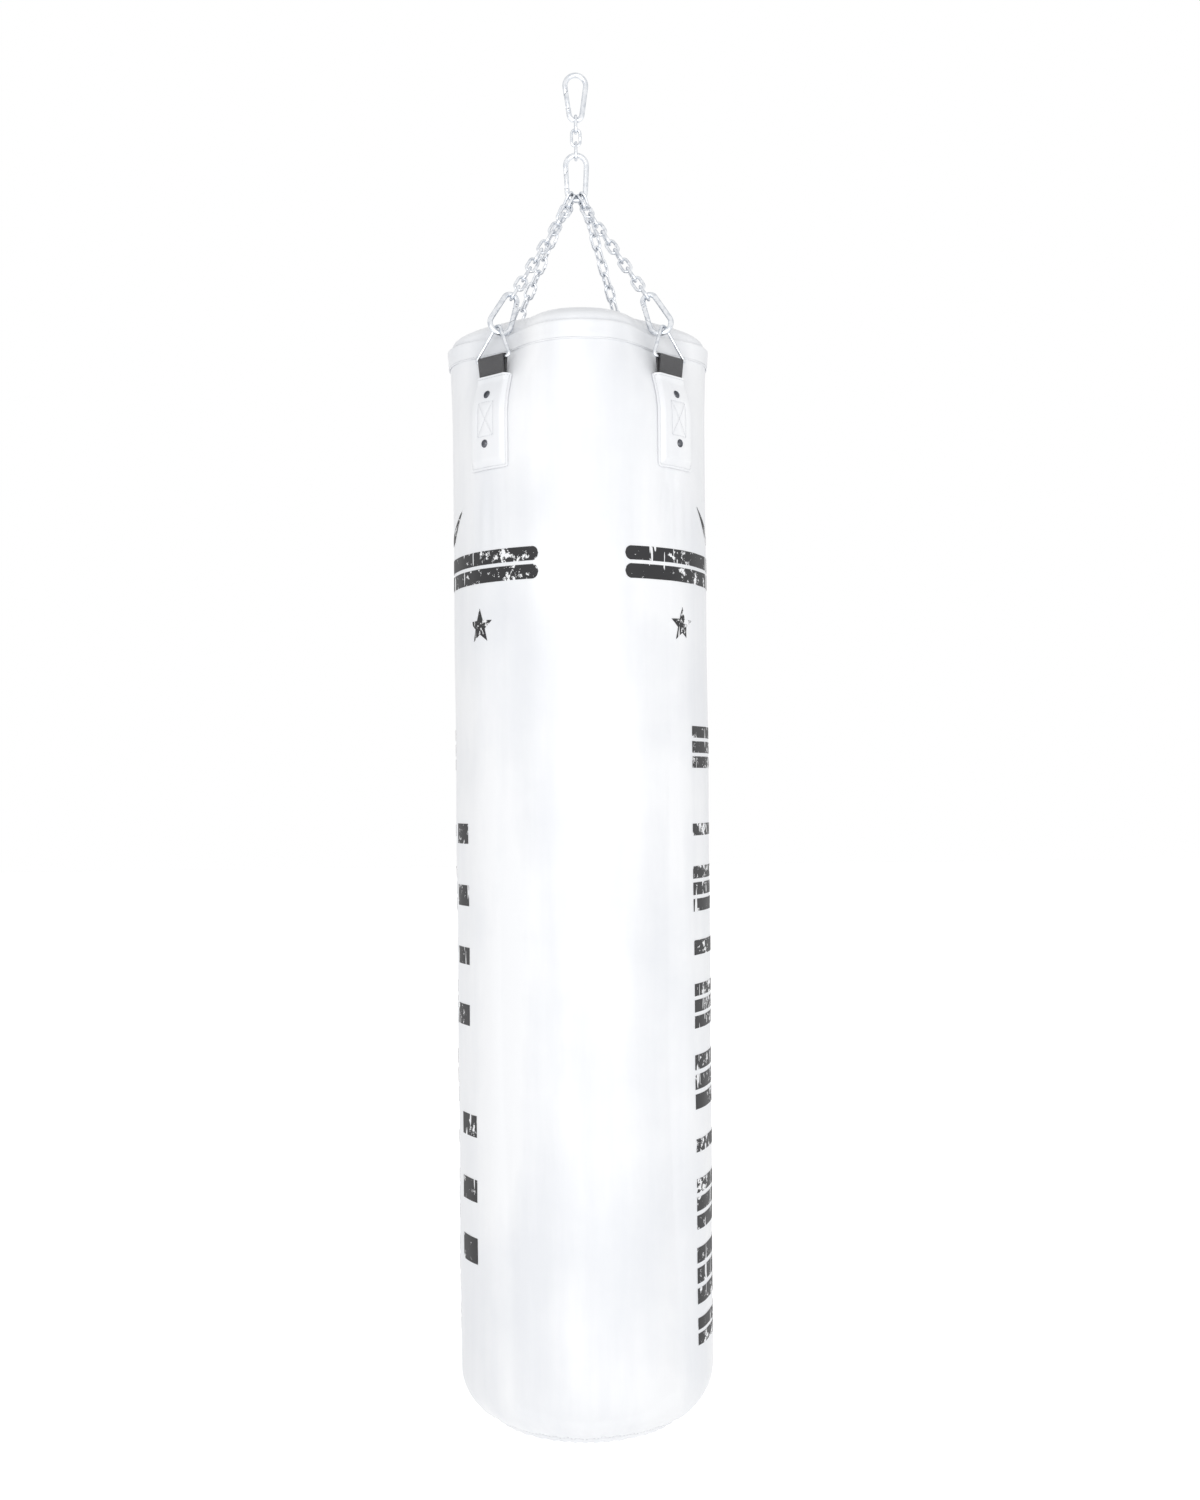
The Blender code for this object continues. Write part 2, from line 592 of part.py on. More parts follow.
def patch(name, azimuth):
    """Vinyl patch sewn over the tails of the strap, standing proud where the strap lies under it."""
    flat_edge = 0.0012
    crest = PATCH_HALF_WIDTH - PATCH_MARGIN
    across_steps = (-PATCH_HALF_WIDTH, -crest - 0.0012, -crest, -crest * 0.5, 0.0,
                    crest * 0.5, crest, crest + 0.0012, PATCH_HALF_WIDTH)
    low_crest = PATCH_BOTTOM_Z + 0.0105
    heights = (PATCH_TOP_Z,) + TOP_ROWS[5:] + (low_crest, low_crest - 0.0015, PATCH_BOTTOM_Z)
    work = bmesh.new()
    sheets = []
    for extra in (0.0, PATCH_THICK):
        sheet = []
        for height in heights:
            row = []
            for across in across_steps:
                proud = abs(across) <= crest + 1e-6 and height >= low_crest - 1e-6
                offset = (PATCH_PROUD if proud else flat_edge) + extra
                if proud and height == PATCH_TOP_Z:
                    offset += PATCH_LIP
                row.append(work.verts.new(on_bag(azimuth, across, offset, height)))
            sheet.append(row)
        sheets.append(sheet)
    back, front = sheets
    rows = len(heights)
    columns = len(across_steps)
    for row in range(rows - 1):
        for column in range(columns - 1):
            for sheet in sheets:
                work.faces.new((sheet[row][column], sheet[row][column + 1],
                                sheet[row + 1][column + 1], sheet[row + 1][column]))
    border = [(0, column) for column in range(columns)]
    border += [(row, columns - 1) for row in range(1, rows)]
    border += [(rows - 1, column) for column in range(columns - 2, -1, -1)]
    border += [(row, 0) for row in range(rows - 2, 0, -1)]
    for near, far in zip(border, border[1:] + border[:1]):
        work.faces.new((back[near[0]][near[1]], back[far[0]][far[1]],
                        front[far[0]][far[1]], front[near[0]][near[1]]))
    return place(name, mesh_from(name, work), white_vinyl(), True)


def ring_outline(apex_z):
    """Triangle ring in its own plane: base bar at z = 0, apex bend centred at apex_z."""
    rise = apex_z - RING_CORNER_BEND
    span = math.hypot(RING_CORNER_X, rise)
    lean = math.atan2(RING_CORNER_X, rise) - math.asin((RING_APEX_BEND - RING_CORNER_BEND) / span)
    lean = math.degrees(lean)
    run = arc(RING_CORNER_X, RING_CORNER_BEND, RING_CORNER_BEND, -90.0, lean, 3)
    run += arc(0.0, apex_z, RING_APEX_BEND, lean, 180.0 - lean, 4)
    run += arc(-RING_CORNER_X, RING_CORNER_BEND, RING_CORNER_BEND, 180.0 - lean, 270.0, 3)
    return run


def rivet_mesh():
    """Domed head on a shank, standing on z = 0 with the shank below."""
    head = RIVET_HEAD_R
    tall = RIVET_HEAD_H
    profile = [(0.0, tall), (head * 0.55, tall * 0.84), (head * 0.9, tall * 0.45), (head, tall * 0.1), (head, 0.0),
               (RIVET_SHANK_R, 0.0), (RIVET_SHANK_R, -RIVET_SHANK_L), (0.0, -RIVET_SHANK_L)]
    work = bmesh.new()
    ring = [work.verts.new((radius, 0.0, height)) for radius, height in profile]
    edges = [work.edges.new((near, far)) for near, far in zip(ring, ring[1:])]
    bmesh.ops.spin(work, geom=ring + edges, cent=(0, 0, 0), axis=(0, 0, 1), angle=2.0 * math.pi,
                   steps=RIVET_SIDES, use_merge=True)
    bmesh.ops.remove_doubles(work, verts=work.verts, dist=1e-6)
    return mesh_from("rivet", work)


def rivet_frame(azimuth, height):
    """Where a rivet stands: on the patch, square to the lie of the skin there."""
    offset = PATCH_PROUD + PATCH_THICK
    above = on_bag(azimuth, 0.0, offset, TOP_ROWS[6])
    below = on_bag(azimuth, 0.0, offset, TOP_ROWS[7])
    if height < PULL_START_Z:
        above = on_bag(azimuth, 0.0, offset, PULL_START_Z)
        below = on_bag(azimuth, 0.0, offset, PATCH_BOTTOM_Z)
    share = (height - below.z) / (above.z - below.z)
    tangent = Vector((math.cos(azimuth), math.sin(azimuth), 0.0))
    up = (above - below).normalized()
    out = tangent.cross(up).normalized()
    if out.dot(outward(azimuth)) < 0.0:
        out = -out
    seat = below.lerp(above, share) + out * GAP
    return frame_from(seat, tangent, out.cross(tangent), out)


def hanger(place_name, degrees, shell):
    """One hanger: strap, patch, rivets, triangle ring, snap hook and its leg of the sling."""
    azimuth = math.radians(degrees)
    out = outward(azimuth)
    up = Vector((0.0, 0.0, 1.0))
    tangent = Vector((math.cos(azimuth), math.sin(azimuth), 0.0))

    strap = webbing("webbing_" + place_name, azimuth)
    cover = patch("patch_" + place_name, azimuth)
    for number, height in enumerate(RIVET_Z):
        name = "rivet_" + place_name + "_" + str(number + 1)
        frame = rivet_frame(azimuth, height)
        place(name, rivet_mesh(), material("nickel_rivet", 120, 122, 126, 0.3, 1.0), True, frame)
        hole = cylinder_mesh(name + "_hole", RIVET_SHANK_R + GAP, (0, 0, -0.012), (0, 0, 0.004), RIVET_SIDES)
        tool = cutter(name + "_hole", hole, frame)
        for pierced in (strap, cover, shell):
            boolean(pierced, tool, "DIFFERENCE")

    foot = out * HOOK_FOOT_R + up * HOOK_FOOT_Z
    head = out * HOOK_HEAD_R + up * HOOK_HEAD_Z
    along = (foot - head).normalized()
    level = tangent.cross(along).normalized()
    if level.dot(out) < 0.0:
        level = -level
    roll = math.radians(HOOK_ROLL[place_name])
    across = level * math.cos(roll) + tangent * math.sin(roll)
    hook_frame = frame_from(foot, across, along.cross(across), along)
    snap_hook("strap_hook_" + place_name, hook_frame, HOOK_SMALL)

    base = out * RING_BASE_R + up * RING_BASE_Z
    wire_centre = foot + along * HOOK_WIRE
    ring_up = (wire_centre - base).normalized()
    apex_z = (wire_centre - base).length + RING_APEX_RISE
    ring = wire_mesh("ring_" + place_name, ring_outline(apex_z), RING_WIRE, True, 1)
    ring_frame = frame_from(base, tangent, ring_up.cross(tangent), ring_up)
    place("ring_" + place_name, ring, zinc_steel(), True, ring_frame)

    seat_turn = math.radians(CHAIN_SEAT[place_name])
    bend_z = LOWER_HOOK_Z - HOOK_INNER - HOOK_WIRE + LOWER_SMALL
    seat = Vector((LOWER_SMALL * math.sin(seat_turn), 0.0, bend_z - LOWER_SMALL * math.cos(seat_turn)))
    seat_tangent = Vector((math.cos(seat_turn), 0.0, math.sin(seat_turn)))
    chain_foot = foot - along * (HOOK_INNER + HOOK_WIRE)
    sling_leg("sling_chain_" + place_name, seat, seat_tangent, chain_foot, across)


def zip_closure():
    """Zip across the flat crown of the lid, with its slider and puller."""
    top = CROWN_Z + GAP
    nylon = material("zip_nylon", 232, 233, 236, 0.6, 0.0)
    tape = box_mesh("zip_tape", (-ZIP_HALF_LENGTH, -ZIP_TAPE_HALF, top),
                    (ZIP_HALF_LENGTH, ZIP_TAPE_HALF, top + ZIP_TAPE_THICK))
    place("zip_tape", tape, nylon, False)
    top += ZIP_TAPE_THICK + GAP
    teeth = box_mesh("zip_teeth", (-ZIP_HALF_LENGTH + 0.002, -ZIP_TEETH_HALF, top),
                     (ZIP_HALF_LENGTH - 0.002, ZIP_TEETH_HALF, top + ZIP_TEETH_THICK))
    place("zip_teeth", teeth, material("zip_teeth_nylon", 215, 216, 219, 0.45, 0.0), False)
    top += ZIP_TEETH_THICK + GAP
    slider = box_mesh("zip_slider", (-SLIDER_HALF_LENGTH, -SLIDER_HALF_WIDTH, 0.0),
                      (SLIDER_HALF_LENGTH, SLIDER_HALF_WIDTH, SLIDER_HEIGHT))
    place("zip_slider", slider, zinc_steel(), False, Matrix.Translation((ZIP_SLIDER_X, 0.0, top)))
    top += SLIDER_HEIGHT + GAP
    puller = box_mesh("zip_puller", (-PULLER_REACH, -PULLER_HALF_WIDTH, -PULLER_THICK / 2.0),
                      (PULLER_HEEL, PULLER_HALF_WIDTH, PULLER_THICK / 2.0))
    at_pivot = Matrix.Translation((ZIP_SLIDER_X + PULLER_PIVOT_X, 0.0, top + PULLER_THICK / 2.0))
    place("zip_puller", puller, zinc_steel(), False, at_pivot)


def main():
    global PARTS, CUTTERS
    clear_scene()
    PARTS = new_collection("heavy_bag", False)
    CUTTERS = new_collection("cutters", True)
    snap_hook("top_hook", Matrix.Identity(4), HOOK_SMALL)
    single_link("link_1", LINK_1_Z, HOOK_WIRE, math.radians(90.0))
    single_link("link_2", LINK_2_Z, LINK_WIRE, 0.0)
    single_link("link_3", LINK_3_Z, LINK_WIRE, math.radians(90.0))
    snap_hook("lower_hook", Matrix.Translation((0.0, 0.0, LOWER_HOOK_Z)), LOWER_SMALL)
    shell = bag_tube()
    bottom_panel()
    rim_hem()
    lid()
    zip_closure()
    foam_lining()
    textile_filling()
    for place_name, degrees in STRAPS.items():
        hanger(place_name, degrees, shell)


main()
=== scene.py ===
import math

import bmesh
import bpy
from mathutils import Matrix, Vector


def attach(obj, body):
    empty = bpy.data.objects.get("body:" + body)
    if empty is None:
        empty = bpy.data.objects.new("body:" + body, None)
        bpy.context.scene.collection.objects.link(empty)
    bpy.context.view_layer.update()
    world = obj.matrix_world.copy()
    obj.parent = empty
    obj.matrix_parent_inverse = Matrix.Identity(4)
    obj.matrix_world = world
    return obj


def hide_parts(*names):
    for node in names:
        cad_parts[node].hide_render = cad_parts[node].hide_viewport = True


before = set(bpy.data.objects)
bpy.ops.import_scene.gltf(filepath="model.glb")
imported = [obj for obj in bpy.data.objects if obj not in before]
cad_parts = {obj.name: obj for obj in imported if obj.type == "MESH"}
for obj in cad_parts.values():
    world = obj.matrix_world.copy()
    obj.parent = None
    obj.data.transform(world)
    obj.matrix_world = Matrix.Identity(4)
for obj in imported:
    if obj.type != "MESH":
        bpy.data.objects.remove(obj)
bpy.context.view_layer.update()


# ---- snap hooks -------------------------------------------------------------------------------
# Pear-shaped snap hooks bent from 7 mm steel wire and zinc plated. The gate is sprung, its fork
# turns on a drawn pin, and its slanted end closes on the nose. One holds the bag up, one gathers
# the four chains, and four hold the straps.
HOOK_WIRE = 0.0035
HOOK_BIG = 0.0145
HOOK_SMALL = 0.0090
LOWER_SMALL = 0.0127
HOOK_INNER = 0.0560
NOSE_Z = -0.0215
PIVOT_Z = -0.0440
NOSE_SLANT = Vector((0.78, 0.0, -0.62)).normalized()
TONGUE = 0.0016
GAP = 0.0003
PIN_RADIUS = 0.0011
FORK_LOW = 0.0042
FORK_TOP = 0.0060
SLOT_TOP = 0.0045
WIRE_END = 0.0024
NOSE_SPARE = 0.0040
LOWER_HOOK_Z = -0.1118
STRAP_DEGREES = {"front_left": -45.0, "front_right": 45.0, "back_right": 147.0, "back_left": 225.0}
HOOK_ROLL = {"front_left": -30.0, "front_right": 30.0, "back_right": -30.0, "back_left": 30.0}
HOOK_FOOT = (0.1560, -0.3825)
HOOK_HEAD = (0.1292, -0.3338)


def linear(code):
    """An sRGB hex colour as linear red, green, blue and 1."""
    parts = [int(code[index:index + 2], 16) / 255.0 for index in (1, 3, 5)]
    return [value / 12.92 if value <= 0.04045 else ((value + 0.055) / 1.055) ** 2.4 for value in parts] + [1.0]


def add_node(tree, kind, settings, links):
    """A node with its settings, by property or input name, and its links, by input name."""
    made = tree.nodes.new(kind)
    for key, value in settings.items():
        if isinstance(key, str) and key.islower():
            setattr(made, key, value)
        else:
            made.inputs[key].default_value = value
    for key, (source, output) in links.items():
        tree.links.new(source.outputs[output], made.inputs[key])
    return made


def new_material(name, settings):
    made = bpy.data.materials.new(name)
    made.use_nodes = True
    shader = made.node_tree.nodes["Principled BSDF"]
    for key, value in settings.items():
        shader.inputs[key].default_value = value
    return made, made.node_tree, shader


def shade(tree, shader, colour, roughness, normal):
    for socket, (source, output) in (("Base Color", colour), ("Roughness", roughness), ("Normal", normal)):
        tree.links.new(source.outputs[output], shader.inputs[socket])


def between(tree, source, low_hex, high_hex, start=0.35, stop=0.65):
    """A colour ramp from one hex colour to another over part of a pattern's range."""
    made = add_node(tree, "ShaderNodeValToRGB", {}, {"Fac": source})
    made.color_ramp.elements[0].position = start
    made.color_ramp.elements[0].color = linear(low_hex)
    made.color_ramp.elements[1].position = stop
    made.color_ramp.elements[1].color = linear(high_hex)
    return made


def ranged(tree, source, low, high, start=0.3, stop=0.7):
    return add_node(tree, "ShaderNodeMapRange", {"From Min": start, "From Max": stop, "To Min": low, "To Max": high},
                    {"Value": source})


def plated_metal(name, light, dark, smooth, rough):
    """Barrel-plated wire: painted reflection in light and dark clouds 6 mm across, rougher where dark, and a fine
    tumbled grain.
    """
    made, tree, shader = new_material(name, {"Metallic": 1.0, "Specular Tint": linear("#B9BEC6")})
    place = add_node(tree, "ShaderNodeTexCoord", {}, {})
    reflection_cloud = add_node(tree, "ShaderNodeTexNoise", {"Scale": 160.0, "Detail": 4.0}, {"Vector": (place, "Object")})
    grain = add_node(tree, "ShaderNodeTexNoise", {"Scale": 1100.0, "Detail": 3.0}, {"Vector": (place, "Object")})
    # Painted reflection: the clouds lighten and darken the metal's colour in patches 6 mm across.
    tone = between(tree, (reflection_cloud, "Fac"), dark, light, 0.32, 0.60)
    gloss = ranged(tree, (reflection_cloud, "Fac"), rough, smooth)
    bump = add_node(tree, "ShaderNodeBump", {"Strength": 0.22, "Distance": 0.0003}, {"Height": (grain, "Fac")})
    shade(tree, shader, (tone, "Color"), (gloss, "Result"), (bump, "Normal"))
    return made


ZINC = plated_metal("bright_zinc_plated_steel", "#EDEFF2", "#CDD1D7", 0.16, 0.30)
PIN_STEEL = plated_metal("plain_drawn_steel", "#B9BBBE", "#8C8E92", 0.25, 0.42)


def deselect():
    if bpy.context.object and bpy.context.object.mode == "EDIT":
        bpy.ops.object.mode_set(mode="OBJECT")
    bpy.ops.object.select_all(action="DESELECT")


def choose(piece):
    deselect()
    bpy.context.view_layer.objects.active = piece
    piece.select_set(True)
    return piece


def apply_modifiers(piece):
    choose(piece)
    for step in list(piece.modifiers):
        bpy.ops.object.modifier_apply(modifier=step.name)
    return piece


def finished(piece, name, surface, body, nodes=()):
    """Names a piece, gives it its material, and ties it to its body and CAD nodes."""
    piece.name = name
    piece.data.name = name
    piece.data.materials.clear()
    piece.data.materials.append(surface)
    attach(piece, body)
    if nodes:
        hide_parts(*nodes)
    return piece


def discard(piece):
    bpy.data.objects.remove(piece, do_unlink=True)


def frame_from(origin, across, normal, along):
    made = Matrix.Identity(4)
    for row in range(3):
        made[row][0] = across[row]
        made[row][1] = normal[row]
        made[row][2] = along[row]
        made[row][3] = origin[row]
    return made


def repeated(piece, matrices):
    """One new piece made of a copy of this one at each place."""
    work = bmesh.new()
    for matrix in matrices:
        mesh = piece.data.copy()
        mesh.transform(matrix)
        work.from_mesh(mesh)
        bpy.data.meshes.remove(mesh)
    mesh = bpy.data.meshes.new("repeated")
    work.to_mesh(mesh)
    work.free()
    made = bpy.data.objects.new("repeated", mesh)
    bpy.context.scene.collection.objects.link(made)
    return made


def bent_wire(radius, sides, start, heading, moves, closed=False):
    """Round wire in the XZ plane: a circle pushed straight, spun round a bend or swollen, step by step."""
    deselect()
    turn = Vector(heading).to_track_quat("Z", "Y").to_euler()
    bpy.ops.mesh.primitive_circle_add(vertices=sides, radius=radius, fill_type="NOTHING", location=start,
                                      rotation=turn)
    piece = bpy.context.object
    bpy.ops.object.transform_apply(location=True, rotation=True, scale=True)
    bpy.ops.object.mode_set(mode="EDIT")
    bpy.ops.mesh.select_all(action="SELECT")
    for kind, *how in moves:
        if kind == "run":
            bpy.ops.mesh.extrude_region_move(TRANSFORM_OT_translate={"value": Vector(how[0])})
        elif kind == "bend":
            centre_x, centre_z, degrees, steps = how
            bpy.ops.mesh.spin(steps=steps, angle=math.radians(degrees), center=(centre_x, 0.0, centre_z),
                              axis=(0.0, 1.0, 0.0))
        else:
            work = bmesh.from_edit_mesh(piece.data)
            ring = [vert.co for vert in work.verts if vert.select]
            middle = sum(ring, Vector()) / len(ring)
            bpy.ops.transform.resize(value=(how[0], how[0], how[0]), center_override=middle)
    bpy.ops.mesh.select_all(action="SELECT")
    bpy.ops.mesh.remove_doubles(threshold=2e-6)
    if not closed:
        bpy.ops.mesh.select_all(action="DESELECT")
        bpy.ops.mesh.select_mode(type="EDGE")
        bpy.ops.mesh.select_non_manifold(extend=False, use_wire=False, use_boundary=True, use_multi_face=False,
                                         use_non_contiguous=False, use_verts=False)
        bpy.ops.mesh.fill_holes(sides=0)
        bpy.ops.mesh.select_mode(type="VERT")
    bpy.ops.mesh.select_all(action="SELECT")
    bpy.ops.mesh.normals_make_consistent(inside=False)
    bpy.ops.object.mode_set(mode="OBJECT")
    return piece


def slice_away(piece, point, normal, low, high):
    """Cuts the faces whose middle lies between low and high on a plane, closes it, drops the far side."""
    choose(piece)
    for vert in piece.data.vertices:
        vert.select = False
    for edge in piece.data.edges:
        edge.select = False
    for face in piece.data.polygons:
        face.select = all(near <= value <= far for near, value, far in zip(low, face.center, high))
    bpy.ops.object.mode_set(mode="EDIT")
    bpy.ops.mesh.select_mode(type="FACE")
    bpy.ops.mesh.bisect(plane_co=point, plane_no=normal, use_fill=True, clear_outer=True)
    bpy.ops.mesh.select_mode(type="VERT")
    bpy.ops.object.mode_set(mode="OBJECT")


def cut_with(piece, tools):
    """Cuts tools out of a piece and removes them."""
    for tool in tools:
        step = piece.modifiers.new("cut", "BOOLEAN")
        step.operation = "DIFFERENCE"
        step.solver = "EXACT"
        step.object = tool
    apply_modifiers(piece)
    for tool in tools:
        discard(tool)


def block_tool(low, high, centre):
    deselect()
    middle = [(near + far) / 2.0 for near, far in zip(low, high)]
    bpy.ops.mesh.primitive_cube_add(size=1.0, location=Vector(middle) + Vector(centre))
    tool = bpy.context.object
    tool.scale = [far - near for near, far in zip(low, high)]
    bpy.ops.object.transform_apply(location=True, rotation=True, scale=True)
    return tool


def softened(piece, width, degrees=32.0):
    """A small bevel on the sharp edges, then smooth shading between them."""
    step = piece.modifiers.new("edge", "BEVEL")
    step.width = width
    step.segments = 2
    step.limit_method = "ANGLE"
    step.angle_limit = math.radians(degrees)
    apply_modifiers(piece)
    bpy.ops.object.shade_smooth_by_angle(angle=math.radians(degrees))
    return piece


def on_circle(centre_x, centre_z, radius, degrees):
    turn = math.radians(degrees)
    return Vector((centre_x + radius * math.cos(turn), 0.0, centre_z + radius * math.sin(turn)))


BIG_Z = HOOK_WIRE - HOOK_BIG


def hook_pieces(small):
    """Bow, gate and pin of a hook whose narrow end has this radius, gate on -X, wide end at the top."""
    small_z = small - HOOK_WIRE - HOOK_INNER
    slope = math.asin((HOOK_BIG - small) / (BIG_Z - small_z))
    degrees = math.degrees(slope)
    leg = Vector((-math.sin(slope), 0.0, math.cos(slope)))

    def on_leg(height):
        return Vector((-HOOK_BIG / math.cos(slope) - (height - BIG_Z) * math.tan(slope), 0.0, height))

    nose = on_leg(NOSE_Z)
    pivot = on_leg(PIVOT_Z)
    big_left = on_circle(0.0, BIG_Z, HOOK_BIG, 180.0 + degrees)
    big_right = on_circle(0.0, BIG_Z, HOOK_BIG, -degrees)
    small_right = on_circle(0.0, small_z, small, -degrees)
    small_left = on_circle(0.0, small_z, small, 180.0 + degrees)
    nose_start = nose - leg * NOSE_SPARE
    tongue_end = pivot + leg * WIRE_END

    bow = bent_wire(HOOK_WIRE, 20, nose_start, leg, [
        ("run", big_left - nose_start), ("bend", 0.0, BIG_Z, -180.0 - 2.0 * degrees, 26),
        ("run", small_right - big_right), ("bend", 0.0, small_z, -180.0 + 2.0 * degrees, 20),
        ("run", tongue_end - small_left)])
    slice_away(bow, nose, NOSE_SLANT, (-0.03, -0.01, -0.0320), (-0.004, 0.01, -0.0136))
    cut_with(bow, [block_tool((-FORK_TOP, TONGUE, -FORK_LOW), (FORK_TOP, HOOK_WIRE * 1.5, FORK_TOP), pivot),
                   block_tool((-FORK_TOP, -HOOK_WIRE * 1.5, -FORK_LOW), (FORK_TOP, -TONGUE, FORK_TOP), pivot)])
    softened(bow, 0.0004)

    gate_start = pivot - leg * WIRE_END
    gate = bent_wire(HOOK_WIRE - GAP, 20, gate_start, leg, [("run", nose + leg * NOSE_SPARE - gate_start)])
    slice_away(gate, nose + NOSE_SLANT * GAP * 1.5, -NOSE_SLANT, (-1, -1, -1), (1, 1, 1))
    cut_with(gate, [block_tool((-FORK_TOP, -TONGUE - GAP, -FORK_TOP), (FORK_TOP, TONGUE + GAP, SLOT_TOP), pivot)])
    softened(gate, 0.0004)

    deselect()
    bpy.ops.mesh.primitive_cylinder_add(vertices=20, radius=PIN_RADIUS, depth=HOOK_WIRE * 2.0, location=pivot,
                                        rotation=(math.radians(90.0), 0.0, 0.0))
    pin = bpy.context.object
    bpy.ops.object.transform_apply(location=True, rotation=True, scale=True)
    softened(pin, 0.0004)
    return bow, gate, pin


def outward(azimuth):
    return Vector((math.sin(azimuth), -math.cos(azimuth), 0.0))


def sideways(azimuth):
    return Vector((math.cos(azimuth), math.sin(azimuth), 0.0))


def strap_hook_frame(name):
    """Where a strap hook lies, with the inside of its wide end at its foot."""
    azimuth = math.radians(STRAP_DEGREES[name])
    foot = outward(azimuth) * HOOK_FOOT[0] + Vector((0.0, 0.0, HOOK_FOOT[1]))
    head = outward(azimuth) * HOOK_HEAD[0] + Vector((0.0, 0.0, HOOK_HEAD[1]))
    along = (foot - head).normalized()
    level = sideways(azimuth).cross(along).normalized()
    if level.dot(outward(azimuth)) < 0.0:
        level = -level
    roll = math.radians(HOOK_ROLL[name])
    across = level * math.cos(roll) + sideways(azimuth) * math.sin(roll)
    return frame_from(foot, across, along.cross(across), along)


ordinary = hook_pieces(HOOK_SMALL)
gathering = hook_pieces(LOWER_SMALL)
hooks = [("top_hook", Matrix.Identity(4), "top_hook", "top_gate", ordinary),
         ("lower_hook", Matrix.Translation((0.0, 0.0, LOWER_HOOK_Z)), "bag", "lower_gate", gathering)]
hooks += [("strap_hook_" + name, strap_hook_frame(name), "bag", "gate_" + name, ordinary) for name in STRAP_DEGREES]
for name, place, body, gate_body, (bow, gate, pin) in hooks:
    finished(repeated(bow, [place]), name + "_bow", ZINC, body, [name + "_body"])
    finished(repeated(gate, [place]), name + "_sprung_gate", ZINC, gate_body, [name + "_gate"])
    finished(repeated(pin, [place]), name + "_hinge_pin", PIN_STEEL, body, [name + "_pin"])
for piece in ordinary + gathering:
    discard(piece)


# ---- chain ------------------------------------------------------------------------------------
# Short-link chain of 4 mm zinc-plated wire. Each link is bent round and butt-welded in the middle
# of one side, where the weld leaves a slight swell. Three links join the two big hooks, and four
# legs of eleven links fan out from the lower hook to the strap hooks.
LINK_WIRE = 0.0020
LINK_PITCH = 0.0190
LINK_HALF_WIDTH = 0.0060
LEG_LINKS = 11
SEAT_GAP = 0.0007
SETTLE_STEPS = 6
WELD_SWELL = 1.17
WELD_HALF = 0.0012
LOOSE_LINKS = {"link_1": (-0.0595, HOOK_WIRE, 90.0), "link_2": (-0.0767, LINK_WIRE, 0.0),
               "link_3": (-0.0954, LINK_WIRE, 90.0)}
CHAIN_SEAT = {"front_left": -17.0, "front_right": 11.0, "back_right": 64.0, "back_left": -68.0}


def chain_link(inner, bend_steps):
    reach = inner / 2.0 + LINK_WIRE - LINK_HALF_WIDTH
    moves = [("bend", 0.0, reach, 180.0, bend_steps), ("run", (0.0, 0.0, -2.0 * reach)),
             ("bend", 0.0, -reach, 180.0, bend_steps), ("run", (0.0, 0.0, reach - WELD_HALF)),
             ("run", (0.0, 0.0, WELD_HALF / 2.0)), ("swell", WELD_SWELL), ("run", (0.0, 0.0, WELD_HALF)),
             ("run", (0.0, 0.0, WELD_HALF / 2.0)), ("swell", 1.0 / WELD_SWELL),
             ("run", (0.0, 0.0, reach - WELD_HALF))]
    link = bent_wire(LINK_WIRE, 14, (LINK_HALF_WIDTH, 0.0, reach), (0.0, 0.0, 1.0), moves, True)
    choose(link)
    bpy.ops.object.shade_smooth()
    return link


loose = chain_link(LINK_PITCH, 14)
for name, (hung_z, held_wire, turn) in LOOSE_LINKS.items():
    place = Matrix.Translation((0.0, 0.0, hung_z + held_wire + GAP - LINK_PITCH / 2.0))
    place = place @ Matrix.Rotation(math.radians(turn), 4, "Z")
    finished(repeated(loose, [place]), "loose_" + name, ZINC, name, [name])
discard(loose)


def leg_places(seat, seat_tangent, foot, foot_tangent):
    """Pitch and link frames of one leg, from the wire of the lower hook to the wire of a strap hook."""
    reach = HOOK_WIRE + LINK_WIRE + SEAT_GAP
    along = (foot - seat).normalized()
    for _ in range(SETTLE_STEPS):
        clear_top = (along - seat_tangent * along.dot(seat_tangent)).normalized()
        clear_foot = (along - foot_tangent * along.dot(foot_tangent)).normalized()
        start = seat - clear_top * reach + along * LINK_WIRE
        stop = foot + clear_foot * reach - along * LINK_WIRE
        along = (stop - start).normalized()
    pitch = (stop - start).length / LEG_LINKS
    first = along.cross(seat_tangent).cross(along).normalized()
    last = along.cross(foot_tangent).cross(along).normalized()
    if first.dot(last) < 0.0:
        last = -last
    twist = first.angle(last) * (1.0 if first.cross(last).dot(along) >= 0.0 else -1.0)
    places = []
    for index in range(LEG_LINKS):
        turn = twist * index / (LEG_LINKS - 1) + math.radians(90.0) * (index % 2)
        normal = Matrix.Rotation(turn, 3, along) @ first
        places.append(frame_from(start + along * pitch * (index + 0.5), normal.cross(along), normal, along))
    return pitch, places


for name, degrees in STRAP_DEGREES.items():
    hook_place = strap_hook_frame(name)
    seat_turn = math.radians(CHAIN_SEAT[name])
    seat = on_circle(0.0, LOWER_SMALL - HOOK_WIRE - HOOK_INNER, LOWER_SMALL, CHAIN_SEAT[name] - 90.0)
    seat += Vector((0.0, 0.0, LOWER_HOOK_Z))
    seat_tangent = Vector((math.cos(seat_turn), 0.0, math.sin(seat_turn)))
    foot = hook_place @ Vector((0.0, 0.0, -HOOK_INNER - HOOK_WIRE))
    foot_tangent = hook_place.to_3x3() @ Vector((1.0, 0.0, 0.0))
    pitch, places = leg_places(seat, seat_tangent, foot, foot_tangent)
    link = chain_link(pitch - 0.0001, 10)
    finished(repeated(link, places), "chain_leg_" + name, ZINC, "bag", ["sling_chain_" + name])
    discard(link)


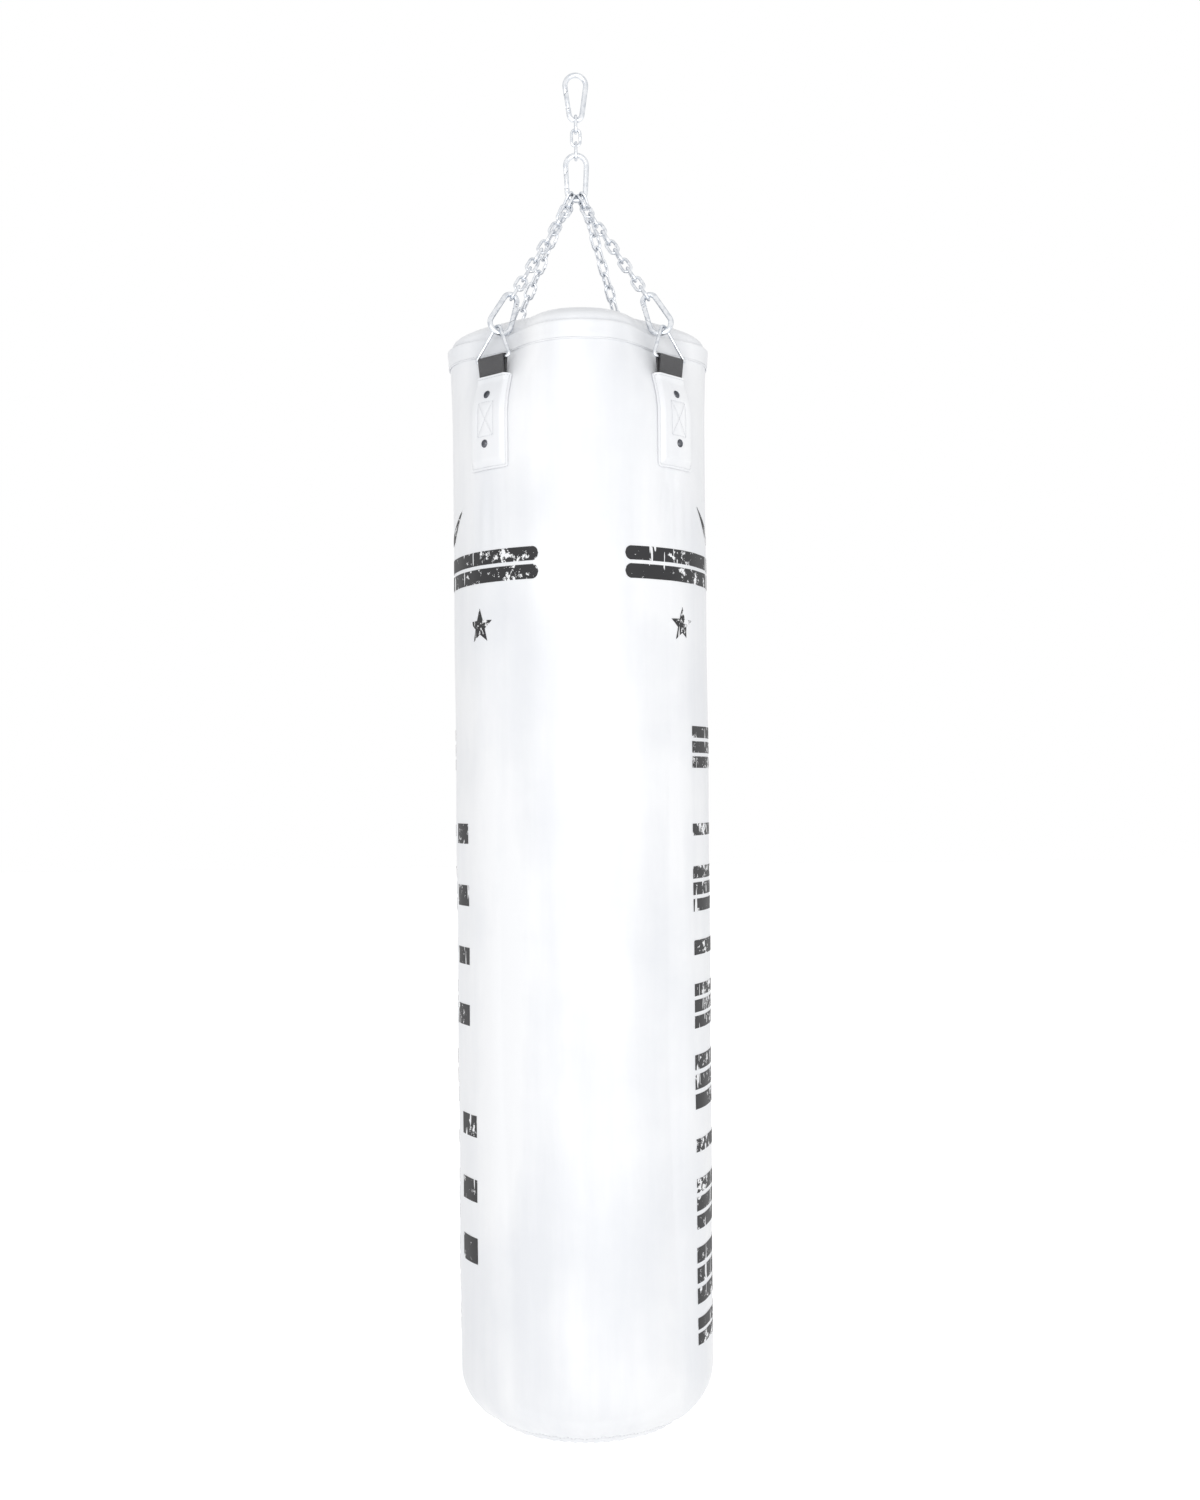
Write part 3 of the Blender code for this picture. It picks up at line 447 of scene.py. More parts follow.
# ---- triangle rings ---------------------------------------------------------------------------
# Welded triangle rings of 4.5 mm zinc-plated wire. The strap is folded round the bar, and the strap
# hook's wide end sits in the apex, so each ring stands up from the bag's shoulder.
RING_WIRE = 0.00225
RING_BASE = (0.1660, -0.4230)
RING_CORNER_X = 0.0265
RING_CORNER_BEND = 0.0035
RING_APEX_BEND = 0.0064
RING_APEX_RISE = 0.0019

for name, degrees in STRAP_DEGREES.items():
    azimuth = math.radians(degrees)
    base = outward(azimuth) * RING_BASE[0] + Vector((0.0, 0.0, RING_BASE[1]))
    held = strap_hook_frame(name) @ Vector((0.0, 0.0, HOOK_WIRE))
    ring_up = (held - base).normalized()
    apex_z = (held - base).length + RING_APEX_RISE
    rise = apex_z - RING_CORNER_BEND
    lean = math.atan2(RING_CORNER_X, rise)
    lean -= math.asin((RING_APEX_BEND - RING_CORNER_BEND) / math.hypot(RING_CORNER_X, rise))
    lean = math.degrees(lean)
    right_up = on_circle(RING_CORNER_X, RING_CORNER_BEND, RING_CORNER_BEND, lean)
    apex_right = on_circle(0.0, apex_z, RING_APEX_BEND, lean)
    apex_left = on_circle(0.0, apex_z, RING_APEX_BEND, 180.0 - lean)
    left_up = on_circle(-RING_CORNER_X, RING_CORNER_BEND, RING_CORNER_BEND, 180.0 - lean)
    ring = bent_wire(RING_WIRE, 16, (0.0, 0.0, 0.0), (1.0, 0.0, 0.0), [
        ("run", (RING_CORNER_X, 0.0, 0.0)), ("bend", RING_CORNER_X, RING_CORNER_BEND, 90.0 + lean, 8),
        ("run", apex_right - right_up), ("bend", 0.0, apex_z, 180.0 - 2.0 * lean, 14),
        ("run", left_up - apex_left), ("bend", -RING_CORNER_X, RING_CORNER_BEND, 90.0 + lean, 8),
        ("run", (RING_CORNER_X, 0.0, 0.0))], True)
    choose(ring)
    bpy.ops.object.shade_smooth()
    ring.data.transform(frame_from(base, sideways(azimuth), ring_up.cross(sideways(azimuth)), ring_up))
    finished(ring, "triangle_ring_" + name, ZINC, "bag", ["ring_" + name])


# ---- the bag's skin ---------------------------------------------------------------------------
# A tube of coated white vinyl, 350 mm across, tight over packed rags. Its top is pulled inwards at
# the four straps and swells between them. Its side shows long soft folds, faint creases run down
# from the patches, and the corner is gathered where a round panel closes the bottom.
BAG_R = 0.1750
RIM_Z = -0.3870
BOTTOM_Z = -1.8540
CORNER_R = 0.0680
SEAM_R = 0.1370
PANEL_DIP_Z = -1.8660
SKIN = 0.0025
GATHERS = 46
SHIFT = math.radians(12.6)
SHIFT_REACH = math.radians(65.0)


def smoothstep(value):
    value = min(max(value, 0.0), 1.0)
    return value * value * (3.0 - 2.0 * value)


def draw_in(azimuth, height):
    """How the straps scale the bag's radius at this azimuth, 0 being the front, and height."""
    past = math.remainder(azimuth - math.radians(STRAP_DEGREES["back_right"]), 2.0 * math.pi)
    if abs(past) < SHIFT_REACH:
        azimuth -= SHIFT * (0.5 + 0.5 * math.cos(math.pi * past / SHIFT_REACH))
    lobe = 0.5 + 0.5 * math.cos(4.0 * (azimuth - math.radians(45.0)))
    change = 0.0030 * (1.0 - lobe) - 0.0390 * lobe ** 1.4
    return 1.0 + smoothstep((height + 0.5000) / 0.1250) * change / BAG_R


def folds(azimuth, height):
    """The skin's soft unevenness: folds down its length, packed lumps, and creases below the patches."""
    below = smoothstep((-0.590 - height) / 0.120)
    long_folds = 0.0006 * math.sin(5.0 * azimuth + 1.3 + 0.8 * math.sin(3.1 * height))
    long_folds += 0.0004 * math.sin(11.0 * azimuth + 2.2 * height + 0.7)
    long_folds += 0.00022 * math.sin(23.0 * azimuth - 5.0 * height)
    lumps = 0.0007 * math.sin(9.0 * height + 2.0 * azimuth) * math.sin(14.0 * height - 3.0 * azimuth + 1.0)
    side = math.remainder(azimuth - math.radians(45.0), math.radians(90.0))
    fan = max(0.0, 1.0 - abs(height + 0.635) / 0.085)
    tension = -0.0009 * fan * fan * math.cos(52.0 * side * (1.0 + 0.8 * (height + 0.60)))
    tension *= math.exp(-(side * 5.0) ** 2)
    return below * (long_folds + lumps) + tension * smoothstep((-0.574 - height) / 0.012)


def gather_wave(azimuth):
    """From 0 in a gather to 1 on the ridge between two, unevenly spaced round the seam."""
    phase = GATHERS * azimuth + 1.9 * math.sin(3.0 * azimuth) + 1.1 * math.sin(7.0 * azimuth + 1.0)
    return 0.5 - 0.5 * math.cos(phase)


def gather(azimuth, height):
    """How far the corner's gathers pull the skin in: deepest at the seam, gone 70 mm above it."""
    ridge = gather_wave(azimuth)
    uneven = 0.65 + 0.35 * math.sin(5.0 * azimuth + 2.0)
    depth = smoothstep((BOTTOM_Z + 0.056 - height) / 0.050)
    return -0.0026 * depth * depth * (1.0 - ridge ** 0.6) * uneven


def on_skin(azimuth, height, offset=0.0):
    radius = BAG_R * draw_in(azimuth, height) + folds(azimuth, height) + offset
    return outward(azimuth) * radius + Vector((0.0, 0.0, height))


def lathe(profile, sides, closed=True):
    """An outline of (radius, height) spun round the bag's axis."""
    mesh = bpy.data.meshes.new("lathe")
    count = len(profile)
    mesh.from_pydata([(radius, 0.0, height) for radius, height in profile],
                     [(index, (index + 1) % count) for index in range(count if closed else count - 1)], [])
    piece = bpy.data.objects.new("lathe", mesh)
    bpy.context.scene.collection.objects.link(piece)
    choose(piece)
    bpy.ops.object.mode_set(mode="EDIT")
    bpy.ops.mesh.select_all(action="SELECT")
    bpy.ops.mesh.spin(steps=sides, angle=2.0 * math.pi, center=(0.0, 0.0, 0.0), axis=(0.0, 0.0, 1.0))
    bpy.ops.mesh.select_all(action="SELECT")
    bpy.ops.mesh.remove_doubles(threshold=1e-5)
    bpy.ops.mesh.select_all(action="DESELECT")
    bpy.ops.mesh.select_mode(type="EDGE")
    bpy.ops.mesh.select_non_manifold(extend=False, use_wire=True, use_boundary=False, use_multi_face=False,
                                     use_non_contiguous=False, use_verts=False)
    bpy.ops.mesh.delete(type="EDGE")
    bpy.ops.mesh.select_mode(type="VERT")
    bpy.ops.mesh.select_all(action="SELECT")
    bpy.ops.mesh.normals_make_consistent(inside=False)
    bpy.ops.object.mode_set(mode="OBJECT")
    bpy.ops.object.shade_smooth()
    return piece


def shaped(piece, amount):
    """Moves each vertex by the straps' pull, and outwards by amount(azimuth, height, radius)."""
    for vert in piece.data.vertices:
        radius = math.hypot(vert.co.x, vert.co.y)
        if radius < 1e-5:
            continue
        azimuth = math.atan2(vert.co.x, -vert.co.y)
        move = amount(azimuth, vert.co.z, radius)
        scale = draw_in(azimuth, vert.co.z)
        away = outward(azimuth) * (radius * scale + move[0])
        vert.co = (away.x, away.y, vert.co.z + move[1])
    piece.data.update()
    return piece


def turned_corner(radius, inset, steps):
    """The turn from the bag's side to its bottom panel, as (radius, height), top to bottom."""
    last = math.asin((SEAM_R - (BAG_R - CORNER_R)) / CORNER_R)
    points = []
    for step in range(steps + 1):
        angle = math.pi / 2.0 + (last - math.pi / 2.0) * step / steps
        points.append((radius + inset - CORNER_R + (CORNER_R - inset) * math.sin(angle),
                       BOTTOM_Z + CORNER_R - (CORNER_R - inset) * math.cos(angle)))
    return points


def skin_move(azimuth, height, radius):
    """Folds on the side, turning to face down round the corner, where the gathers are."""
    centre_r = BAG_R - CORNER_R
    down = height - BOTTOM_Z - CORNER_R
    amount = folds(azimuth, height) + gather(azimuth, height)
    if down >= 0.0:
        return amount, 0.0
    length = math.hypot(radius - centre_r, down)
    return amount * (radius - centre_r) / length, amount * down / length


def evenly(start, stop, step):
    count = max(1, round(abs(stop - start) / step))
    return [start + (stop - start) * index / count for index in range(count + 1)]


def coated_vinyl(name, light, dark, smooth, rough):
    """PVC-coated cloth: a low gloss over a shallow leather grain 0.9 mm across, long soft vertical crease
    streaks in its bump with painted shade darkening their hollows, and faint grey handling marks."""
    made, tree, shader = new_material(name, {"IOR": 1.52, "Coat Weight": 0.12, "Coat Roughness": 0.22})
    place = add_node(tree, "ShaderNodeTexCoord", {}, {})
    drawn = add_node(tree, "ShaderNodeMapping", {"Scale": (14.0, 14.0, 1.6)}, {"Vector": (place, "Object")})
    crease_streak = add_node(tree, "ShaderNodeTexNoise", {"Scale": 1.0, "Detail": 5.0, "Roughness": 0.55},
                      {"Vector": (drawn, "Vector")})
    marks = add_node(tree, "ShaderNodeTexNoise", {"Scale": 6.0, "Detail": 6.0}, {"Vector": (place, "Object")})
    grain = add_node(tree, "ShaderNodeTexVoronoi", {"Scale": 1100.0}, {"Vector": (place, "Object")})
    mixed = add_node(tree, "ShaderNodeMath", {"operation": "MULTIPLY"},
                     {0: (crease_streak, "Fac"), 1: (marks, "Fac")})
    # Painted shade: the colour darkens in the hollows of the crease streaks, together with the grey handling marks.
    tone = between(tree, (mixed, "Value"), dark, light, 0.14, 0.34)
    gloss = ranged(tree, (marks, "Fac"), smooth, rough)
    wave = add_node(tree, "ShaderNodeBump", {"Strength": 0.30, "Distance": 0.004}, {"Height": (crease_streak, "Fac")})
    bump = add_node(tree, "ShaderNodeBump", {"Strength": 0.10, "Distance": 0.0002},
                    {"Height": (grain, "Distance"), "Normal": (wave, "Normal")})
    shade(tree, shader, (tone, "Color"), (gloss, "Result"), (bump, "Normal"))
    return made


VINYL = coated_vinyl("white_coated_vinyl", "#F3F4F6", "#E6E8EC", 0.34, 0.50)

outer_side = evenly(RIM_Z, BOTTOM_Z + CORNER_R, 0.0080)
outer = [(BAG_R, height) for height in outer_side] + turned_corner(BAG_R, 0.0, 16)[1:]
inner = [(BAG_R - SKIN, height) for height in outer_side[::6] + outer_side[-1:]]
inner += turned_corner(BAG_R - SKIN, SKIN, 8)[1:]
tube = shaped(lathe(outer + inner[::-1], 216), skin_move)
finished(tube, "bag_skin", VINYL, "bag", ["shell"])

rim = SEAM_R - 0.0012
edge_z = turned_corner(BAG_R, 0.0, 4)[-1][1]
fall = [(1.0, 0.0), (0.985, 0.0030), (0.96, 0.0056), (0.93, 0.0070), (0.90, 0.0077), (0.82, 0.0090),
        (0.72, 0.0100), (0.6, 0.0108), (0.45, 0.0120), (0.3, 0.0130), (0.15, 0.0136)]
depth = edge_z - PANEL_DIP_Z
under = [(rim * share, edge_z - drop * depth / 0.0138) for share, drop in fall] + [(0.0, PANEL_DIP_Z)]
upper = [(radius - (0.0016 if index == 0 else 0.0), height + SKIN) for index, (radius, height) in enumerate(under)]


def panel_move(azimuth, height, radius):
    near = smoothstep((radius - rim * 0.72) / (rim * 0.28))
    wave = gather_wave(azimuth)
    slack = 0.0006 * math.sin(3.0 * azimuth + 18.0 * radius) * smoothstep(radius / 0.05)
    return 0.0, 0.0016 * near * (1.0 - wave) * (1.0 if radius < rim * 0.995 else 0.4) + slack * (1.0 - near)


panel = shaped(lathe(under + upper[::-1], 216), panel_move)
finished(panel, "gathered_bottom_panel", VINYL, "bag", ["bottom_panel"])


# ---- rim hem and its stitching ----------------------------------------------------------------
# The top edge is finished with a folded band of the same vinyl, 24 mm deep, sewn with one row of
# heavy white thread just above its lower edge. The fold stands out as a thin round lip.
HEM_HEIGHT = 0.0240
HEM_SEAM_Z = RIM_Z - 0.0222
STITCH_PITCH = 0.0036


def thread_material(name, light, dark):
    """Bonded polyester thread, three plies twisted: dull, with the twist as fine slanting ridges and painted shade
    between them.
    """
    made, tree, shader = new_material(name, {"Sheen Weight": 0.15, "Sheen Roughness": 0.5})
    place = add_node(tree, "ShaderNodeTexCoord", {}, {})
    twist = add_node(tree, "ShaderNodeTexWave", {"bands_direction": "DIAGONAL", "Scale": 420.0, "Distortion": 1.5},
                     {"Vector": (place, "Object")})
    # Painted shade: the colour is darker where the twist's bump is low, between the plies.
    tone = between(tree, (twist, "Fac"), dark, light)
    gloss = ranged(tree, (twist, "Fac"), 0.60, 0.75, 0.0, 1.0)
    bump = add_node(tree, "ShaderNodeBump", {"Strength": 0.4, "Distance": 0.0002}, {"Height": (twist, "Fac")})
    shade(tree, shader, (tone, "Color"), (gloss, "Result"), (bump, "Normal"))
    return made


THREAD = thread_material("white_bonded_thread", "#E2E4E7", "#BFC2C7")

deselect()
bpy.ops.mesh.primitive_uv_sphere_add(segments=6, ring_count=4, radius=1.0)
one_stitch = bpy.context.object
one_stitch.scale = (0.00042, STITCH_PITCH * 0.40, 0.00034)
bpy.ops.object.transform_apply(location=False, rotation=False, scale=True)
bpy.ops.object.shade_smooth()


def sewn(name, surface, lines, pitch=STITCH_PITCH):
    """Stitches along lines of (across, height) points on a surface(across, height)."""
    places = []
    for line in lines:
        for (across_a, height_a), (across_b, height_b) in zip(line, line[1:]):
            length = math.hypot(across_b - across_a, height_b - height_a)
            count = max(1, round(length / pitch))
            for index in range(count):
                share = (index + 0.5) / count
                across = across_a + (across_b - across_a) * share
                height = height_a + (height_b - height_a) * share
                spot = surface(across, height)
                along = surface(across + (across_b - across_a) / length * 1e-4,
                                height + (height_b - height_a) / length * 1e-4) - spot
                right = surface(across + 1e-4, height) - spot
                up = surface(across, height + 1e-4) - spot
                normal = right.cross(up).normalized()
                along = along.normalized()
                places.append(frame_from(spot + normal * 0.00012, along.cross(normal), along, normal))
    return finished(repeated(one_stitch, places), name, THREAD, "bag")


def hem_offset(height):
    """The band's outer face: nearly flat, rounded at its top fold, pinched a little by its stitches."""
    down = RIM_Z - height
    thin = 0.0008 * smoothstep((down - 0.016) / 0.008)
    return 0.0024 - thin + 0.0007 * math.exp(-((down - 0.003) / 0.005) ** 2)


def on_hem(across, height):
    return on_skin(across / BAG_R, height, hem_offset(height))


hem_rows = evenly(RIM_Z - HEM_HEIGHT, RIM_Z - 0.0006, 0.0014)
hem_profile = [(BAG_R + 0.0003, RIM_Z - HEM_HEIGHT + 0.0002), (BAG_R + 0.0011, RIM_Z - HEM_HEIGHT - 0.0002)]
hem_profile += [(BAG_R + hem_offset(height), height) for height in hem_rows]
hem_profile += [(BAG_R + 0.0022, RIM_Z + 0.0004), (BAG_R + 0.0012, RIM_Z + 0.0010), (BAG_R - 0.0002, RIM_Z + 0.0009),
                (BAG_R - 0.0012, RIM_Z + 0.0003), (BAG_R + 0.0003, RIM_Z - 0.0002)]


def hem_move(azimuth, height, radius):
    low = smoothstep((RIM_Z - height - 0.012) / 0.010)
    return 0.00022 * low * math.sin(160.0 * azimuth) + 0.0003 * math.sin(17.0 * azimuth + 60.0 * height), 0.0


hem = shaped(lathe(hem_profile, 320), hem_move)
finished(hem, "folded_rim_hem", VINYL, "bag", ["rim_hem"])
around = [(BAG_R * math.radians(degrees), HEM_SEAM_Z) for degrees in range(0, 361, 3)]
sewn("hem_stitching", on_hem, [around])


# ---- lining and filling -----------------------------------------------------------------------
# Inside the skin a 15 mm sheet of closed-cell foam keeps the outside smooth. The core is textile
# cuttings packed hard by machine, which gives the bag its weight and its slightly lumpy feel.
LINING = 0.0150
LINING_GAP = 0.0016
LINING_TOP_Z = -0.4010
PACK_TOP_Z = -0.4020
PACK_UNDER_LID = 0.0041
LID_SKIRT_Z = -0.3990
CROWN_Z = -0.3510
CROWN_FLAT_R = 0.0860
LID_ROWS = ((0.1690, -0.3765, 1.0, 0.2), (0.1560, -0.3680, 0.8, 0.6), (0.1350, -0.3612, 0.4, 0.9),
            (0.1120, -0.3555, 0.2, 1.0))


def lid_rows(inset):
    """The lid's outline as (radius, height), from its skirt up to its flat crown."""
    rim_r = BAG_R - SKIN - 2.0 * GAP - inset
    rows = [(rim_r, LID_SKIRT_Z), (rim_r, RIM_Z)]
    rows += [(radius - inset * inwards, height - inset * down) for radius, height, inwards, down in LID_ROWS]
    return rows + [(CROWN_FLAT_R - inset * 0.1, CROWN_Z - inset)]


def mottled(name, colours, scale, rough, strength, distance):
    """Stuffing: cells of several colours with a soft, dull, uneven surface."""
    made, tree, shader = new_material(name, {"Sheen Weight": 0.2})
    place = add_node(tree, "ShaderNodeTexCoord", {}, {})
    cells = add_node(tree, "ShaderNodeTexVoronoi", {"Scale": scale}, {"Vector": (place, "Object")})
    fluff = add_node(tree, "ShaderNodeTexNoise", {"Scale": scale * 3.0, "Detail": 5.0}, {"Vector": (place, "Object")})
    tone = between(tree, (cells, "Color"), colours[0], colours[1], 0.2, 0.8)
    gloss = ranged(tree, (fluff, "Fac"), rough - 0.05, rough)
    bump = add_node(tree, "ShaderNodeBump", {"Strength": strength, "Distance": distance}, {"Height": (fluff, "Fac")})
    shade(tree, shader, (tone, "Color"), (gloss, "Result"), (bump, "Normal"))
    return made


FOAM = mottled("closed_cell_foam_sheet", ("#BDBAB2", "#D2D0C9"), 900.0, 0.95, 0.3, 0.0004)
RAGS = mottled("machine_packed_textile_cuttings", ("#6E6C6A", "#B3AFA9"), 60.0, 0.98, 0.8, 0.004)

lining_r = BAG_R - SKIN - LINING_GAP
lining_side = evenly(LINING_TOP_Z, BOTTOM_Z + CORNER_R, 0.0300)
lining_profile = [(lining_r, height) for height in lining_side] + turned_corner(lining_r, SKIN + LINING_GAP, 8)[1:]
lining_inner = [(lining_r - LINING, height) for height in lining_side]
lining_inner += turned_corner(lining_r - LINING, SKIN + LINING_GAP + LINING, 8)[1:]


def still(azimuth, height, radius):
    return 0.0, 0.0


lining = shaped(lathe(lining_profile + lining_inner[::-1], 96), still)
finished(lining, "foam_sheet_lining", FOAM, "bag", ["foam_lining"])

pack_r = BAG_R - SKIN - LINING - 2.0 * LINING_GAP
pack_crown = [(0.0, CROWN_Z - PACK_UNDER_LID), (0.045, CROWN_Z - PACK_UNDER_LID)]
pack_crown += lid_rows(PACK_UNDER_LID)[:1:-1]
pack_profile = [point for point in pack_crown if point[0] < pack_r - 0.004]
pack_profile += [(pack_r, height) for height in evenly(PACK_TOP_Z, BOTTOM_Z + CORNER_R, 0.0200)]
pack_profile += [(0.1260, BOTTOM_Z + 0.0240), (0.1100, BOTTOM_Z + 0.0140), (0.0600, BOTTOM_Z + 0.0110),
                 (0.0, BOTTOM_Z + 0.0100)]


def packed(azimuth, height, radius):
    lump = math.sin(9.0 * azimuth + 31.0 * height) * math.sin(5.0 * azimuth - 47.0 * height + 2.0)
    return -0.0009 - 0.0009 * lump, 0.0


core = shaped(lathe(pack_profile, 120), packed)
finished(core, "packed_textile_core", RAGS, "bag", ["textile_filling"])


# ---- lid --------------------------------------------------------------------------------------
# A puffed lid of the same vinyl closes the top inside the rim. The packing pushes it up between
# the rim seam and the stiff zip, and it creases a little on its shoulder.
LID_STEPS = 5
CROWN_STEPS = 14
LID_PUFF = 0.0050


def between_keys(keys, index, share):
    """The point at this share of the way from one key to the next, on a smooth line through them all."""
    before, near, far, after = (keys[min(max(place, 0), len(keys) - 1)] for place in range(index - 1, index + 3))
    line = 2.0 * near + (far - before) * share
    curve = (2.0 * before - 5.0 * near + 4.0 * far - after) * share * share
    return 0.5 * (line + curve + (3.0 * near - before - 3.0 * far + after) * share ** 3)


lid_keys = [Vector(point) for point in lid_rows(0.0)]
lid_line = [tuple(between_keys(lid_keys, index, step / LID_STEPS))
            for index in range(len(lid_keys) - 1) for step in range(LID_STEPS)] + [tuple(lid_keys[-1])]
lid_line += [(CROWN_FLAT_R * (1.0 - step / CROWN_STEPS), CROWN_Z) for step in range(1, CROWN_STEPS + 1)]
lid = lathe(lid_line, 150, False)
if sum(face.normal.z for face in lid.data.polygons) < 0.0:
    lid.data.flip_normals()


def lid_slack(azimuth, height, radius):
    shoulder = smoothstep((radius - 0.090) / 0.040) * smoothstep((RIM_Z + 0.030 - height) / -0.016)
    crease = math.sin(19.0 * azimuth + 2.0 * math.sin(5.0 * azimuth) + 40.0 * height)
    fine = math.sin(47.0 * azimuth + 3.0 * math.sin(9.0 * azimuth))
    return 0.0, shoulder * (0.0011 * crease + 0.0005 * fine)


shaped(lid, lid_slack)


def puffed(piece, held, frames, pressure, most):
    """Blows a sheet up as cloth, with the held vertices fixed and no vertex moved further than most."""
    before = [vert.co.copy() for vert in piece.data.vertices]
    group = piece.vertex_groups.new(name="held")
    group.add([vert.index for vert in piece.data.vertices if held(vert.co)], 1.0, "REPLACE")
    step = piece.modifiers.new("air", "CLOTH")
    step.settings.quality = 6
    step.settings.mass = 0.5
    step.settings.tension_stiffness = 30.0
    step.settings.compression_stiffness = 30.0
    step.settings.bending_stiffness = 1.5
    step.settings.vertex_group_mass = "held"
    step.settings.shrink_min = -0.012
    step.settings.use_pressure = True
    step.settings.uniform_pressure_force = pressure
    step.settings.effector_weights.gravity = 0.0
    step.point_cache.frame_end = frames
    for number in range(1, frames + 1):
        bpy.context.scene.frame_set(number)
    apply_modifiers(piece)
    bpy.context.scene.frame_set(1)
    piece.vertex_groups.clear()
    for vert, start in zip(piece.data.vertices, before):
        move = vert.co - start
        if move.length > most:
            vert.co = start + move * (most / move.length)
    piece.data.update()


def lid_held(spot):
    flat_r = math.hypot(spot.x, spot.y)
    return spot.z < RIM_Z + 0.003 or (abs(spot.x) < 0.084 and abs(spot.y) < 0.0165 and flat_r < 0.086)


puffed(lid, lid_held, 20, 4.0, LID_PUFF)
wall = lid.modifiers.new("wall", "SOLIDIFY")
wall.thickness = SKIN
wall.offset = -1.0
apply_modifiers(lid)
bpy.ops.object.shade_smooth()
finished(lid, "puffed_lid", VINYL, "bag", ["lid"])


# ---- zip --------------------------------------------------------------------------------------
# A nylon coil zip lies across the lid's crown, so that the bag can be packed. Its woven tape is
# sewn down along both sides; the die-cast slider and its pressed puller are zinc plated.
ZIP_HALF = 0.0800
TAPE_HALF = 0.0140
TAPE_THICK = 0.0010
TAPE_SEAM = 0.0112
TAPE_SEAM_END = 0.0030
TEETH_THICK = 0.0012
TEETH = 104
TOOTH_PITCH = 0.00149
SLIDER_X = 0.0680
SLIDER_SIZE = Vector((0.0140, 0.0090, 0.0018))
PULLER_SIZE = Vector((0.0266, 0.0070, 0.0014))
tape_top = CROWN_Z + GAP + TAPE_THICK


def woven(name, light, dark, across_count, along_count, depth, sheen):
    """Woven tape or webbing on its own UV: warp ridges along it, crossed by the weft, with painted shade in their
    valleys.
    """
    made, tree, shader = new_material(name, {"Sheen Weight": sheen, "Sheen Roughness": 0.45})
    place = add_node(tree, "ShaderNodeUVMap", {"uv_map": "UVMap"}, {})
    scaled = add_node(tree, "ShaderNodeMapping", {"Scale": (across_count, along_count, 1.0)}, {"Vector": (place, "UV")})
    warp = add_node(tree, "ShaderNodeTexWave", {"bands_direction": "X", "Scale": 0.314159, "Distortion": 0.6},
                    {"Vector": (scaled, "Vector")})
    weft = add_node(tree, "ShaderNodeTexWave", {"bands_direction": "DIAGONAL", "Scale": 0.314159, "Distortion": 0.4},
                    {"Vector": (scaled, "Vector")})
    fuzz = add_node(tree, "ShaderNodeTexNoise", {"Scale": 3.0, "Detail": 4.0}, {"Vector": (scaled, "Vector")})
    knit = add_node(tree, "ShaderNodeMath", {"operation": "MULTIPLY"}, {0: (warp, "Fac"), 1: (weft, "Fac")})
    mixed = add_node(tree, "ShaderNodeMath", {"operation": "MULTIPLY_ADD", 1: 0.7},
                     {0: (knit, "Value"), 2: (fuzz, "Fac")})
    # Painted shade: the colour is darker where the knit's bump is low, in the weave's valleys, and varies at random
    # with the fuzz.
    tone = between(tree, (mixed, "Value"), dark, light, 0.35, 1.0)
    gloss = ranged(tree, (fuzz, "Fac"), 0.70, 0.88)
    bump = add_node(tree, "ShaderNodeBump", {"Strength": 0.7, "Distance": depth}, {"Height": (knit, "Value")})
    shade(tree, shader, (tone, "Color"), (gloss, "Result"), (bump, "Normal"))
    return made


def sheet_of(columns, rows, place, thickness, surface_offset=-1.0):
    """A flat grid laid on place(share across, share along), then given its thickness."""
    deselect()
    bpy.ops.mesh.primitive_grid_add(x_subdivisions=columns, y_subdivisions=rows, size=1.0)
    piece = bpy.context.object
    for vert in piece.data.vertices:
        vert.co = place(vert.co.x + 0.5, vert.co.y + 0.5)
    piece.data.update()
    wall = piece.modifiers.new("wall", "SOLIDIFY")
    wall.thickness = thickness
    wall.offset = surface_offset
    apply_modifiers(piece)
    bpy.ops.object.shade_smooth_by_angle(angle=math.radians(40.0))
    return piece


TAPE = woven("white_polyester_zip_tape", "#E9EAEC", "#C6C8CC", 40.0, 6.0, 0.0003, 0.2)
COIL, coil_tree, coil_shader = new_material("moulded_nylon_coil", {"IOR": 1.53})
coil_place = add_node(coil_tree, "ShaderNodeTexCoord", {}, {})
coil_noise = add_node(coil_tree, "ShaderNodeTexNoise", {"Scale": 700.0, "Detail": 3.0},
                      {"Vector": (coil_place, "Object")})
coil_bump = add_node(coil_tree, "ShaderNodeBump", {"Strength": 0.2, "Distance": 0.0001},
                     {"Height": (coil_noise, "Fac")})
shade(coil_tree, coil_shader, (between(coil_tree, (coil_noise, "Fac"), "#C9CBCF", "#DFE0E3"), "Color"),
      (ranged(coil_tree, (coil_noise, "Fac"), 0.35, 0.5), "Result"), (coil_bump, "Normal"))


def tape_place(share_x, share_y):
    x = -ZIP_HALF + 2.0 * ZIP_HALF * share_x
    y = -TAPE_HALF + 2.0 * TAPE_HALF * share_y
    return Vector((x, y, tape_top + 0.00012 * math.sin(90.0 * x + 200.0 * y)))


tape = sheet_of(80, 16, tape_place, TAPE_THICK)
finished(tape, "woven_zip_tape", TAPE, "bag", ["zip_tape"])


def on_tape(x, y):
    return Vector((x, y, tape_top + 0.0001))


seam_x = ZIP_HALF - TAPE_SEAM_END
tape_seams = [[(-seam_x, side * TAPE_SEAM), (seam_x, side * TAPE_SEAM)] for side in (-1.0, 1.0)]
tape_seams += [[(side * seam_x, -TAPE_SEAM), (side * seam_x, TAPE_SEAM)] for side in (-1.0, 1.0)]
sewn("zip_stitching", on_tape, tape_seams, 0.0030)

